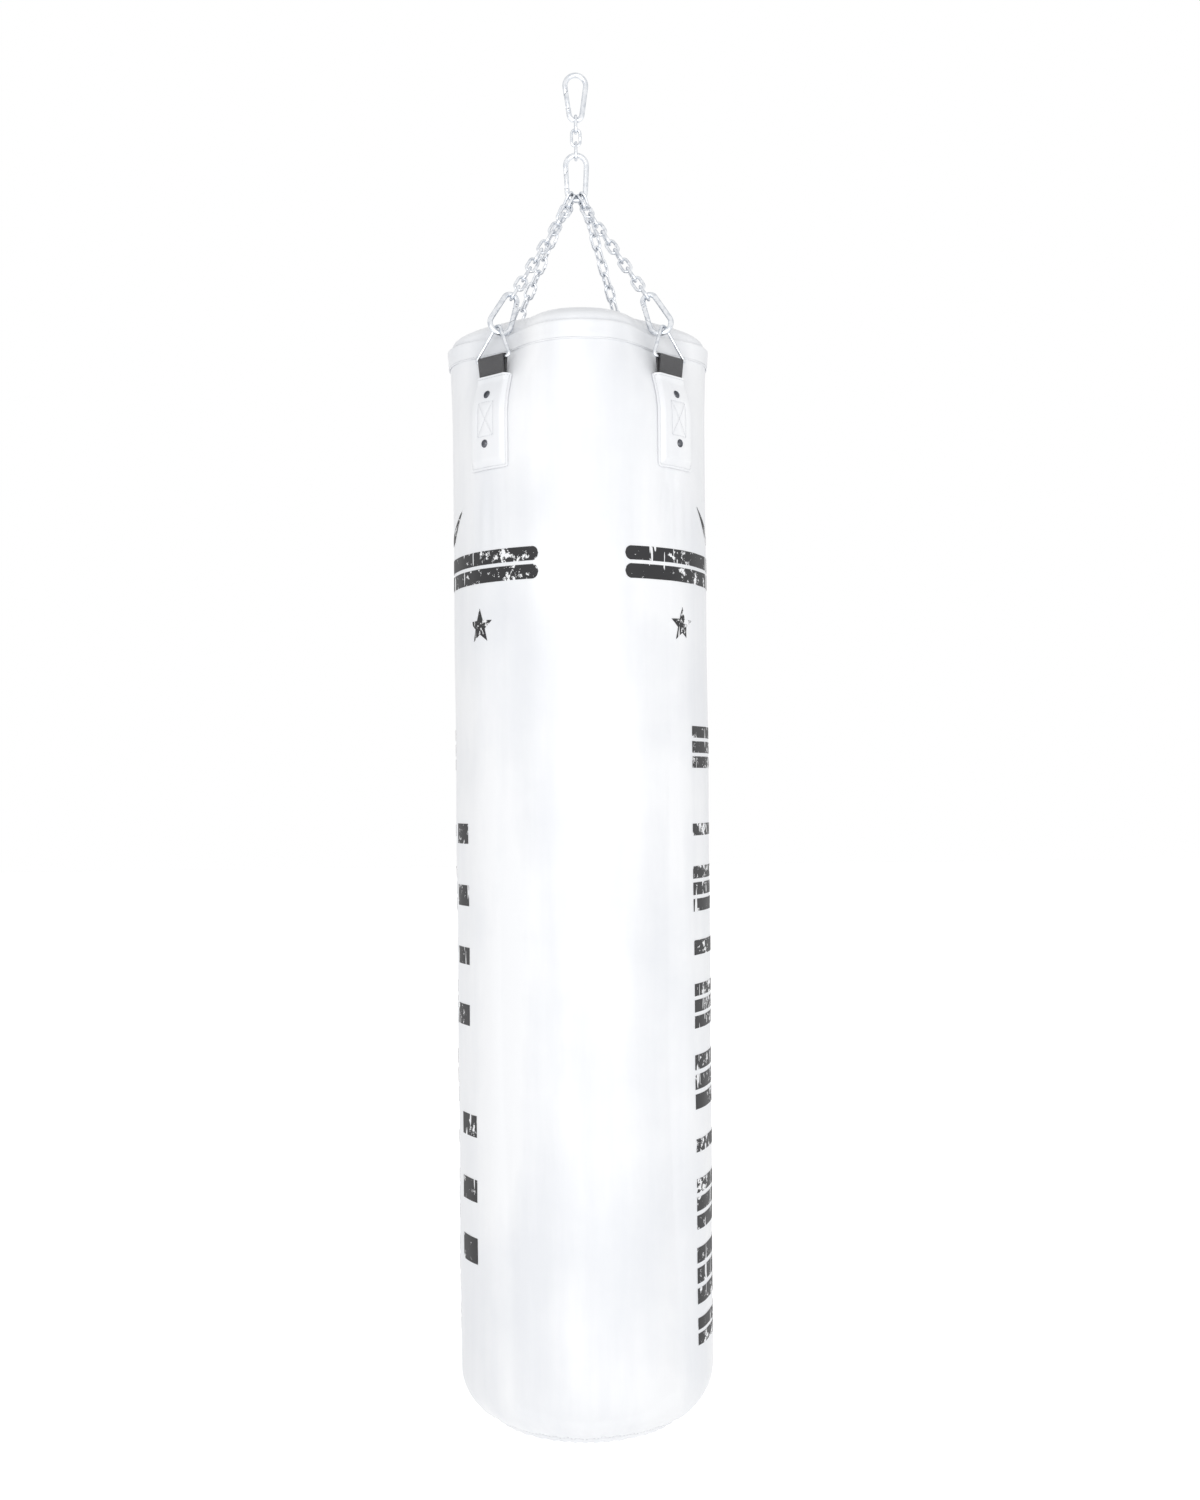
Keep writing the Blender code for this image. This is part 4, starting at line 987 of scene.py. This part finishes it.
tooth = bent_wire(0.00046, 6, (-0.0022, 0.0, -0.0002), (0.0, 0.0, 1.0),
                  [("run", (0.0, 0.0, 0.0005)), ("bend", -0.0008, 0.0003, -150.0, 5)])
teeth = []
for index in range(TEETH):
    x = -ZIP_HALF + 0.0026 + TOOTH_PITCH * index
    turn = Matrix.Rotation(math.radians(90.0 if index % 2 else -90.0), 4, "Z")
    teeth.append(Matrix.Translation((x, 0.0, tape_top + 0.0002)) @ turn)
coil = repeated(tooth, teeth)
discard(tooth)
choose(coil)
bpy.ops.object.shade_smooth()
finished(coil, "nylon_zip_coil", COIL, "bag", ["zip_teeth"])


def gridded_block(size, middle, cuts):
    """A block with its faces cut into a grid, so that its outline can be drawn in."""
    block = block_tool(-size / 2.0, size / 2.0, middle)
    bpy.ops.object.mode_set(mode="EDIT")
    bpy.ops.mesh.select_all(action="SELECT")
    bpy.ops.mesh.subdivide(number_cuts=cuts)
    bpy.ops.object.mode_set(mode="OBJECT")
    return block


slider_z = tape_top + GAP + TEETH_THICK + GAP
slider = gridded_block(SLIDER_SIZE, (SLIDER_X, 0.0, slider_z + 0.0008), 3)
for vert in slider.data.vertices:
    back = (SLIDER_X + SLIDER_SIZE.x / 2.0 - vert.co.x) / SLIDER_SIZE.x
    vert.co.y *= 1.0 - 0.28 * smoothstep((back - 0.45) / 0.55)
bridge = bent_wire(0.0008, 10, (SLIDER_X - 0.0020, 0.0, slider_z + 0.0012), (0.0, 0.0, 1.0),
                   [("run", (0.0, 0.0, 0.0003)), ("bend", SLIDER_X + 0.0012, slider_z + 0.0015, -180.0, 12),
                    ("run", (0.0, 0.0, -0.0004))])
for vert in bridge.data.vertices:
    vert.co.z = slider_z + 0.0012 + (vert.co.z - slider_z - 0.0012) * 0.55
    vert.co.y *= 2.0
softened(slider, 0.0004, 40.0)
choose(bridge)
slider.select_set(True)
bpy.context.view_layer.objects.active = slider
bpy.ops.object.join()
finished(slider, "cast_zip_slider", ZINC, "zip_slider", ["zip_slider"])

pivot_x = SLIDER_X + 0.0050
pull_z = slider_z + 0.0034 + GAP
puller = gridded_block(PULLER_SIZE, (pivot_x - 0.0127, 0.0, pull_z + 0.0008), 5)
for vert in puller.data.vertices:
    share = (pivot_x + 0.0006 - vert.co.x) / PULLER_SIZE.x
    vert.co.y *= 0.62 + 0.38 * smoothstep((share - 0.15) / 0.5) - 0.12 * smoothstep((share - 0.85) / 0.15)
deselect()
bpy.ops.mesh.primitive_cylinder_add(vertices=24, radius=0.0019, depth=0.01, location=(pivot_x - 0.0215, 0.0, pull_z))
cut_with(puller, [bpy.context.object])
softened(puller, 0.0003, 40.0)
finished(puller, "pressed_zip_puller", ZINC, "zip_puller", ["zip_puller"])


# ---- straps -----------------------------------------------------------------------------------
# Black polypropylene webbing, 47 mm wide, is folded round the bar of each ring. Both tails run
# down the bag under a patch, where they are sewn and riveted.
WEB_HALF = 0.0235
WEB_THICK = 0.0018
WEB_OFF_SKIN = 0.0010
PATCH_TOP_Z = -0.4450
PATCH_BOTTOM_Z = -0.5700
WEBBING = woven("black_polypropylene_webbing", "#4A4A4E", "#1C1C1F", 180.0, 900.0, 0.0005, 0.35)


def strap_line(azimuth, across):
    """The middle of the strap's thickness at this distance from its centre: up, round the bar, down."""
    outer_off = WEB_OFF_SKIN + WEB_THICK * 1.5 + GAP
    inner_off = WEB_OFF_SKIN + WEB_THICK * 0.5
    low_z = PATCH_BOTTOM_Z + 0.0140
    heights = [low_z, -0.5200, -0.5000, -0.4790, -0.4640, -0.4540]
    side = across / BAG_R
    keys = [on_skin(azimuth + side, height, outer_off) for height in heights]
    reach = RING_WIRE + 0.0004 + WEB_THICK / 2.0
    for degrees in (0.0, 30.0, 60.0, 90.0, 120.0, 150.0, 180.0):
        spot = on_circle(RING_BASE[0], RING_BASE[1], reach, degrees)
        keys.append(outward(azimuth) * spot.x + sideways(azimuth) * across + Vector((0.0, 0.0, spot.z)))
    return keys + [on_skin(azimuth + side, height, inner_off) for height in heights[::-1]]


def along_line(keys, share):
    """The point at this share of a smooth line through the keys."""
    reach = share * (len(keys) - 1)
    index = min(int(reach), len(keys) - 2)
    return between_keys(keys, index, reach - index)


for name, degrees in STRAP_DEGREES.items():
    azimuth = math.radians(degrees)
    strap = sheet_of(18, 108, lambda across, along: along_line(
        strap_line(azimuth, (across * 2.0 - 1.0) * WEB_HALF), along), WEB_THICK, 0.0)
    softened(strap, 0.0004, 50.0)
    finished(strap, "folded_webbing_" + name, WEBBING, "bag", ["webbing_" + name])


# ---- patches ----------------------------------------------------------------------------------
# White vinyl patches, 67 by 125 mm, cover the straps' tails. Each is sewn all round 3 mm in from
# its edge and again with a crossed box between its two rivets, and every row of thread sinks in.
PATCH_HALF = 0.0335
PATCH_THICK = 0.0015
EDGE_IN = 0.0030
BOX = (0.0135, -0.4815, -0.5270)
PATCH_CORNER = 0.0040


def off_segment(across, height, first, second):
    run = (second[0] - first[0], second[1] - first[1])
    share = ((across - first[0]) * run[0] + (height - first[1]) * run[1]) / (run[0] ** 2 + run[1] ** 2)
    share = min(max(share, 0.0), 1.0)
    return math.hypot(across - first[0] - run[0] * share, height - first[1] - run[1] * share)


box_half, box_top, box_low = BOX
left_top, right_top = (-box_half, box_top), (box_half, box_top)
left_low, right_low = (-box_half, box_low), (box_half, box_low)
edge_x = PATCH_HALF - EDGE_IN
edge_line = [(-edge_x, PATCH_TOP_Z - EDGE_IN), (edge_x, PATCH_TOP_Z - EDGE_IN), (edge_x, PATCH_BOTTOM_Z + EDGE_IN),
             (-edge_x, PATCH_BOTTOM_Z + EDGE_IN), (-edge_x, PATCH_TOP_Z - EDGE_IN)]
patch_seams = [edge_line, [left_top, right_top, right_low, left_low, left_top], [left_top, right_low],
               [right_top, left_low]]
seam_segments = [pair for line in patch_seams for pair in zip(line, line[1:])]


def patch_offset(across, height):
    rise = smoothstep((PATCH_HALF - 0.0012 - abs(across)) / 0.0085)
    rise *= smoothstep((height - PATCH_BOTTOM_Z - 0.0015) / 0.0125)
    offset = 0.0012 + 0.0046 * rise + PATCH_THICK
    offset += 0.0042 * rise * smoothstep((height + 0.4560) / 0.0110)
    nearest = min(off_segment(across, height, *pair) for pair in seam_segments)
    return offset - 0.00055 * math.exp(-(nearest / 0.0013) ** 2) + 0.0003 * smoothstep(nearest / 0.006)


for name, degrees in STRAP_DEGREES.items():
    azimuth = math.radians(degrees)

    def on_patch(across, height):
        return on_skin(azimuth + across / BAG_R, height, patch_offset(across, height))

    def patch_place(share_across, share_up):
        height = PATCH_BOTTOM_Z + (PATCH_TOP_Z - PATCH_BOTTOM_Z) * share_up
        end = min(height - PATCH_BOTTOM_Z, PATCH_TOP_Z - height)
        half = PATCH_HALF
        if end < PATCH_CORNER:
            half -= PATCH_CORNER - math.sqrt(PATCH_CORNER ** 2 - (PATCH_CORNER - end) ** 2)
        return on_patch((share_across * 2.0 - 1.0) * half, height)

    cover = sheet_of(64, 112, patch_place, PATCH_THICK)
    softened(cover, 0.0003, 60.0)
    finished(cover, "sewn_patch_" + name, VINYL, "bag", ["patch_" + name])
    sewn("patch_stitching_" + name, on_patch, patch_seams, 0.0034)


# ---- rivets -----------------------------------------------------------------------------------
# Two domed steel rivets, black-nickel plated, go through each patch, both tails of the strap and
# the skin. The plating is dark and glossy, with light and dark clouds of painted reflection.
RIVET_Z = (-0.4715, -0.5370)
RIVET_OFF_SKIN = 0.0075
# The base colour's light and dark clouds are painted reflection.
RIVET_NICKEL = plated_metal("black_nickel_plated_steel", "#6B6D72", "#3D3F44", 0.18, 0.34)

rivet_profile = [(0.0, 0.0026), (0.0016, 0.00248), (0.0030, 0.0021), (0.0042, 0.0015), (0.0050, 0.0008),
                 (0.0054, 0.0002), (0.0055, -0.0002), (0.0052, -0.0005), (0.0022, -0.0005), (0.0022, -0.0088),
                 (0.0020, -0.0092), (0.0, -0.0092)]
rivet = lathe(rivet_profile, 28)
for name, degrees in STRAP_DEGREES.items():
    azimuth = math.radians(degrees)
    for number, height in enumerate(RIVET_Z):
        spot, above, below = (on_skin(azimuth, height + step, RIVET_OFF_SKIN) for step in (0.0, 0.004, -0.004))
        up = (above - below).normalized()
        out = sideways(azimuth).cross(up).normalized()
        place = frame_from(spot, sideways(azimuth), out.cross(sideways(azimuth)), out)
        finished(repeated(rivet, [place]), "domed_rivet_%s_%d" % (name, number + 1), RIVET_NICKEL, "bag",
                 ["rivet_%s_%d" % (name, number + 1)])
discard(rivet)


# ---- bottom seam ------------------------------------------------------------------------------
# The gathered corner is sewn to the round panel with the same heavy white thread, in one row that
# runs 3 mm above the panel's edge.
def on_corner(across, height):
    """The skin just above the seam, by distance round the seam and height up the corner."""
    azimuth = across / SEAM_R
    radius = BAG_R - CORNER_R + math.sqrt(max(CORNER_R ** 2 - (BOTTOM_Z + CORNER_R - height) ** 2, 0.0))
    move = skin_move(azimuth, height, radius)
    return outward(azimuth) * (radius + move[0]) + Vector((0.0, 0.0, height + move[1]))


seam_z = edge_z + 0.0032
seam_line = [(SEAM_R * math.radians(degrees), seam_z) for degrees in range(0, 361, 4)]
sewn("bottom_seam_stitching", on_corner, [seam_line], 0.0040)
discard(one_stitch)


# ---- print ------------------------------------------------------------------------------------
# Screen-printed black ink, made to look worn: two bars, two stars and two slashes on each half of
# the bag, and below them a wide and a narrow column of plain blocks on each side.
INK_LIFT = 0.00035
INK_THICK = 0.0002
PRINT_TURN = math.radians(-1.4)
STAR_TURNS = (50.0, 130.0)
STAR_Z = -0.7760
STAR_SIZE = 0.0240
STAR_WAIST = 0.42
SLASH_TURNS = ((64.0, 84.0), (116.0, 96.0))
SLASH_Z = (-0.6130, -0.6560)
SLASH_WIDE = 0.0320
STRIPE_PITCH = 0.0240
STRIPE_GAP = 0.12


def worn_ink():
    """Matt black vinyl ink: solid, but scratched and flaked so that the white vinyl shows through."""
    made, tree, shader = new_material("worn_black_screen_ink", {"IOR": 1.5})
    place = add_node(tree, "ShaderNodeTexCoord", {}, {})
    leaning = add_node(tree, "ShaderNodeMapping", {"Rotation": (0.5, 0.9, 0.3), "Scale": (70.0, 70.0, 9.0)},
                       {"Vector": (place, "Object")})
    scratch = add_node(tree, "ShaderNodeTexNoise", {"Scale": 1.0, "Detail": 3.0, "Distortion": 0.4},
                       {"Vector": (leaning, "Vector")})
    flake = add_node(tree, "ShaderNodeTexNoise", {"Scale": 95.0, "Detail": 7.0, "Roughness": 0.7},
                     {"Vector": (place, "Object")})
    patchy = add_node(tree, "ShaderNodeTexNoise", {"Scale": 17.0, "Detail": 2.0}, {"Vector": (place, "Object")})
    scratched = ranged(tree, (scratch, "Fac"), 0.0, 1.0, 0.640, 0.660)
    both = add_node(tree, "ShaderNodeMath", {"operation": "MULTIPLY_ADD", 1: 0.42},
                    {0: (patchy, "Fac"), 2: (flake, "Fac")})
    flaked = ranged(tree, (both, "Value"), 0.0, 1.0, 0.785, 0.810)
    bare = add_node(tree, "ShaderNodeMath", {"operation": "MAXIMUM"},
                    {0: (scratched, "Result"), 1: (flaked, "Result")})
    tone = between(tree, (bare, "Value"), "#1B1B1E", "#F1F2F4", 0.3, 0.7)
    gloss = ranged(tree, (bare, "Value"), 0.55, 0.42, 0.0, 1.0)
    bump = add_node(tree, "ShaderNodeBump", {"Strength": 0.25, "Distance": 0.0002, "invert": True},
                    {"Height": (bare, "Value")})
    shade(tree, shader, (tone, "Color"), (gloss, "Result"), (bump, "Normal"))
    return made


INK = worn_ink()


def joined(pieces):
    choose(pieces[0])
    for piece in pieces[1:]:
        piece.select_set(True)
    bpy.ops.object.join()
    return bpy.context.object


def bar_print(start, stop, top, low):
    """A bar with round ends from one azimuth to another, in degrees."""
    half = (top - low) / 2.0
    length = abs(math.radians(stop - start)) * BAG_R

    def place(share_along, share_up):
        there = share_along * length
        end = min(there, length - there)
        tall = half if end >= half else math.sqrt(max(half ** 2 - (half - end) ** 2, 0.0)) + 0.0002
        azimuth = math.radians(start + (stop - start) * share_along) + PRINT_TURN
        return on_skin(azimuth, (top + low) / 2.0 + (share_up * 2.0 - 1.0) * tall, INK_LIFT)

    return sheet_of(max(8, round(length / 0.0016)), 6, place, INK_THICK)


def star_print(middle, height, size):
    """A five-pointed star standing upright."""
    deselect()
    bpy.ops.mesh.primitive_circle_add(vertices=10, radius=size, fill_type="TRIFAN", rotation=(0.0, 0.0, 0.0))
    star = bpy.context.object
    for vert in star.data.vertices:
        turn = math.degrees(math.atan2(vert.co.y, vert.co.x))
        if vert.co.length > 1e-4 and round((turn - 90.0) / 36.0) % 2:
            vert.co *= STAR_WAIST
    choose(star)
    bpy.ops.object.mode_set(mode="EDIT")
    bpy.ops.mesh.select_all(action="SELECT")
    bpy.ops.mesh.subdivide(number_cuts=4)
    bpy.ops.object.mode_set(mode="OBJECT")
    for vert in star.data.vertices:
        azimuth = math.radians(middle) + PRINT_TURN + vert.co.x / BAG_R
        vert.co = on_skin(azimuth, height + vert.co.y, INK_LIFT)
    star.data.update()
    wall = star.modifiers.new("wall", "SOLIDIFY")
    wall.thickness = INK_THICK
    wall.offset = -1.0
    apply_modifiers(star)
    return star


def slash_print(start, stop, top, low, wide):
    """A slash that widens downwards from a point."""
    def place(share_across, share_up):
        down = 1.0 - share_up
        azimuth = math.radians(start + (stop - start) * down) + PRINT_TURN
        half = (0.0003 + wide * down * smoothstep((1.04 - down) / 0.10)) / 2.0
        return on_skin(azimuth + (share_across * 2.0 - 1.0) * half / BAG_R, top + (low - top) * down, INK_LIFT)

    return sheet_of(8, 30, place, INK_THICK)


BARS = ((-0.6766, -0.6949), (-0.6998, -0.7188))
for side, near in (("left", -18.7), ("right", 18.8)):
    far = math.copysign(180.0, near) - near
    low_end, high_end = min(near, far), max(near, far)
    bars = [bar_print(low_end, high_end, top, low) for top, low in BARS]
    finished(joined(bars), "printed_bars_" + side, INK, "bag")
    stars = [star_print(math.copysign(turn, near), STAR_Z, STAR_SIZE) for turn in STAR_TURNS]
    finished(joined(stars), "printed_stars_" + side, INK, "bag")
    slashes = [slash_print(math.copysign(top_turn, near), math.copysign(low_turn, near), *SLASH_Z, SLASH_WIDE)
               for top_turn, low_turn in SLASH_TURNS]
    finished(joined(slashes), "printed_slashes_" + side, INK, "bag")

WIDE_BLOCKS = ((-0.907, -0.968), (-1.038, -1.059), (-1.095, -1.161), (-1.194, -1.220), (-1.253, -1.318),
               (-1.348, -1.427), (-1.461, -1.484), (-1.514, -1.588), (-1.606, -1.688), (-1.701, -1.742))
NARROW_BLOCKS = ((-1.038, -1.065, 28.0), (-1.121, -1.149, 28.0), (-1.205, -1.228, 28.0), (-1.282, -1.310, 28.0),
                 (-1.429, -1.458, 33.0), (-1.515, -1.545, 33.0), (-1.593, -1.628, 33.0))


def block_print(start, stop, top, low):
    def place(share_across, share_up):
        azimuth = math.radians(start + (stop - start) * share_across) + PRINT_TURN
        return on_skin(azimuth, low + (top - low) * share_up, INK_LIFT)

    wide = abs(math.radians(stop - start)) * BAG_R
    return sheet_of(max(4, round(wide / 0.004)), max(3, round((top - low) / 0.006)), place, INK_THICK)


def stripes(top, low):
    """A tall block as even stripes, a short one whole."""
    count = max(1, round((top - low) / STRIPE_PITCH))
    pitch = (top - low) / count
    return [(top - pitch * (index + STRIPE_GAP), top - pitch * (index + 1 - STRIPE_GAP)) for index in range(count)]


for side, middle in (("left", -90.0), ("right", 90.0)):
    wide = [block_print(middle - 33.0, middle + 4.0, upper_z, lower_z)
            for top, low in WIDE_BLOCKS for upper_z, lower_z in stripes(top, low)]
    finished(joined(wide), "printed_wide_column_" + side, INK, "bag")
    narrow = [block_print(middle + turn - 14.0, middle + turn, top, low) for top, low, turn in NARROW_BLOCKS]
    finished(joined(narrow), "printed_narrow_column_" + side, INK, "bag")


# ---- studio -----------------------------------------------------------------------------------
# A pale floor well below the hanging bag, in a room that looks white but lights the bag a little
# less than white, and two large soft lights in front that round its sides off.
FLOOR_Z = -2.0600
FLOOR_GLOW = 0.5
ROOM_LIGHT = 0.67
SOFT_LIGHTS = (("soft_key", (-0.9, -3.2, -0.2), 24.0, 1.8), ("soft_fill", (1.0, -3.2, -1.2), 20.0, 1.8))
BAG_MIDDLE = Vector((0.0, 0.0, -1.0))

deselect()
bpy.ops.mesh.primitive_plane_add(size=40.0, location=(0.0, 0.0, FLOOR_Z))
floor = bpy.context.object
floor.name = "pale_floor"
FLOOR, floor_tree, floor_shader = new_material("matt_white_floor_paint", {})
floor_place = add_node(floor_tree, "ShaderNodeTexCoord", {}, {})
floor_noise = add_node(floor_tree, "ShaderNodeTexNoise", {"Scale": 3.0, "Detail": 4.0},
                       {"Vector": (floor_place, "Object")})
floor_bump = add_node(floor_tree, "ShaderNodeBump", {"Strength": 0.02}, {"Height": (floor_noise, "Fac")})
shade(floor_tree, floor_shader, (between(floor_tree, (floor_noise, "Fac"), "#FBFBFB", "#FFFFFF"), "Color"),
      (ranged(floor_tree, (floor_noise, "Fac"), 0.85, 0.95), "Result"), (floor_bump, "Normal"))
floor_sight = add_node(floor_tree, "ShaderNodeLightPath", {}, {})
floor_glow = ranged(floor_tree, (floor_sight, "Is Diffuse Ray"), FLOOR_GLOW, 0.0)
floor_tree.links.new(floor_glow.outputs["Result"], floor_shader.inputs["Emission Strength"])
floor.data.materials.append(FLOOR)

world = bpy.data.worlds.new("white_room")
bpy.context.scene.world = world
world.use_nodes = True
room = world.node_tree
sight = add_node(room, "ShaderNodeLightPath", {}, {})
wall = ranged(room, (sight, "Is Diffuse Ray"), 1.0, ROOM_LIGHT)
room.links.new(wall.outputs["Result"], room.nodes["Background"].inputs["Strength"])
room.nodes["Background"].inputs["Color"].default_value = (1.0, 1.0, 1.0, 1.0)

for name, spot, power, size in SOFT_LIGHTS:
    light = bpy.data.lights.new(name, "AREA")
    light.energy = power
    light.size = size
    lamp = bpy.data.objects.new(name, light)
    bpy.context.scene.collection.objects.link(lamp)
    lamp.location = spot
    lamp.rotation_euler = (BAG_MIDDLE - Vector(spot)).to_track_quat("-Z", "Y").to_euler()

lens = bpy.data.cameras.new("camera")
lens.lens = 40.06
lens.sensor_width = 36.0
lens.shift_x = 0.0120
lens.shift_y = 0.0247
lens.clip_start = 0.05
lens.clip_end = 100.0
camera = bpy.data.objects.new("camera", lens)
bpy.context.scene.collection.objects.link(camera)
eye = Vector((-0.0894, -2.3283, -0.9900))
yaw = math.atan2(-eye.x, -eye.y)
turned = Matrix.Rotation(-yaw, 4, "Z") @ Matrix.Rotation(math.radians(90.0), 4, "X")
turned = turned @ Matrix.Rotation(math.radians(-0.55), 4, "Z")
camera.matrix_world = Matrix.Translation(eye) @ turned
bpy.context.scene.camera = camera
bpy.context.scene.view_settings.view_transform = "Standard"
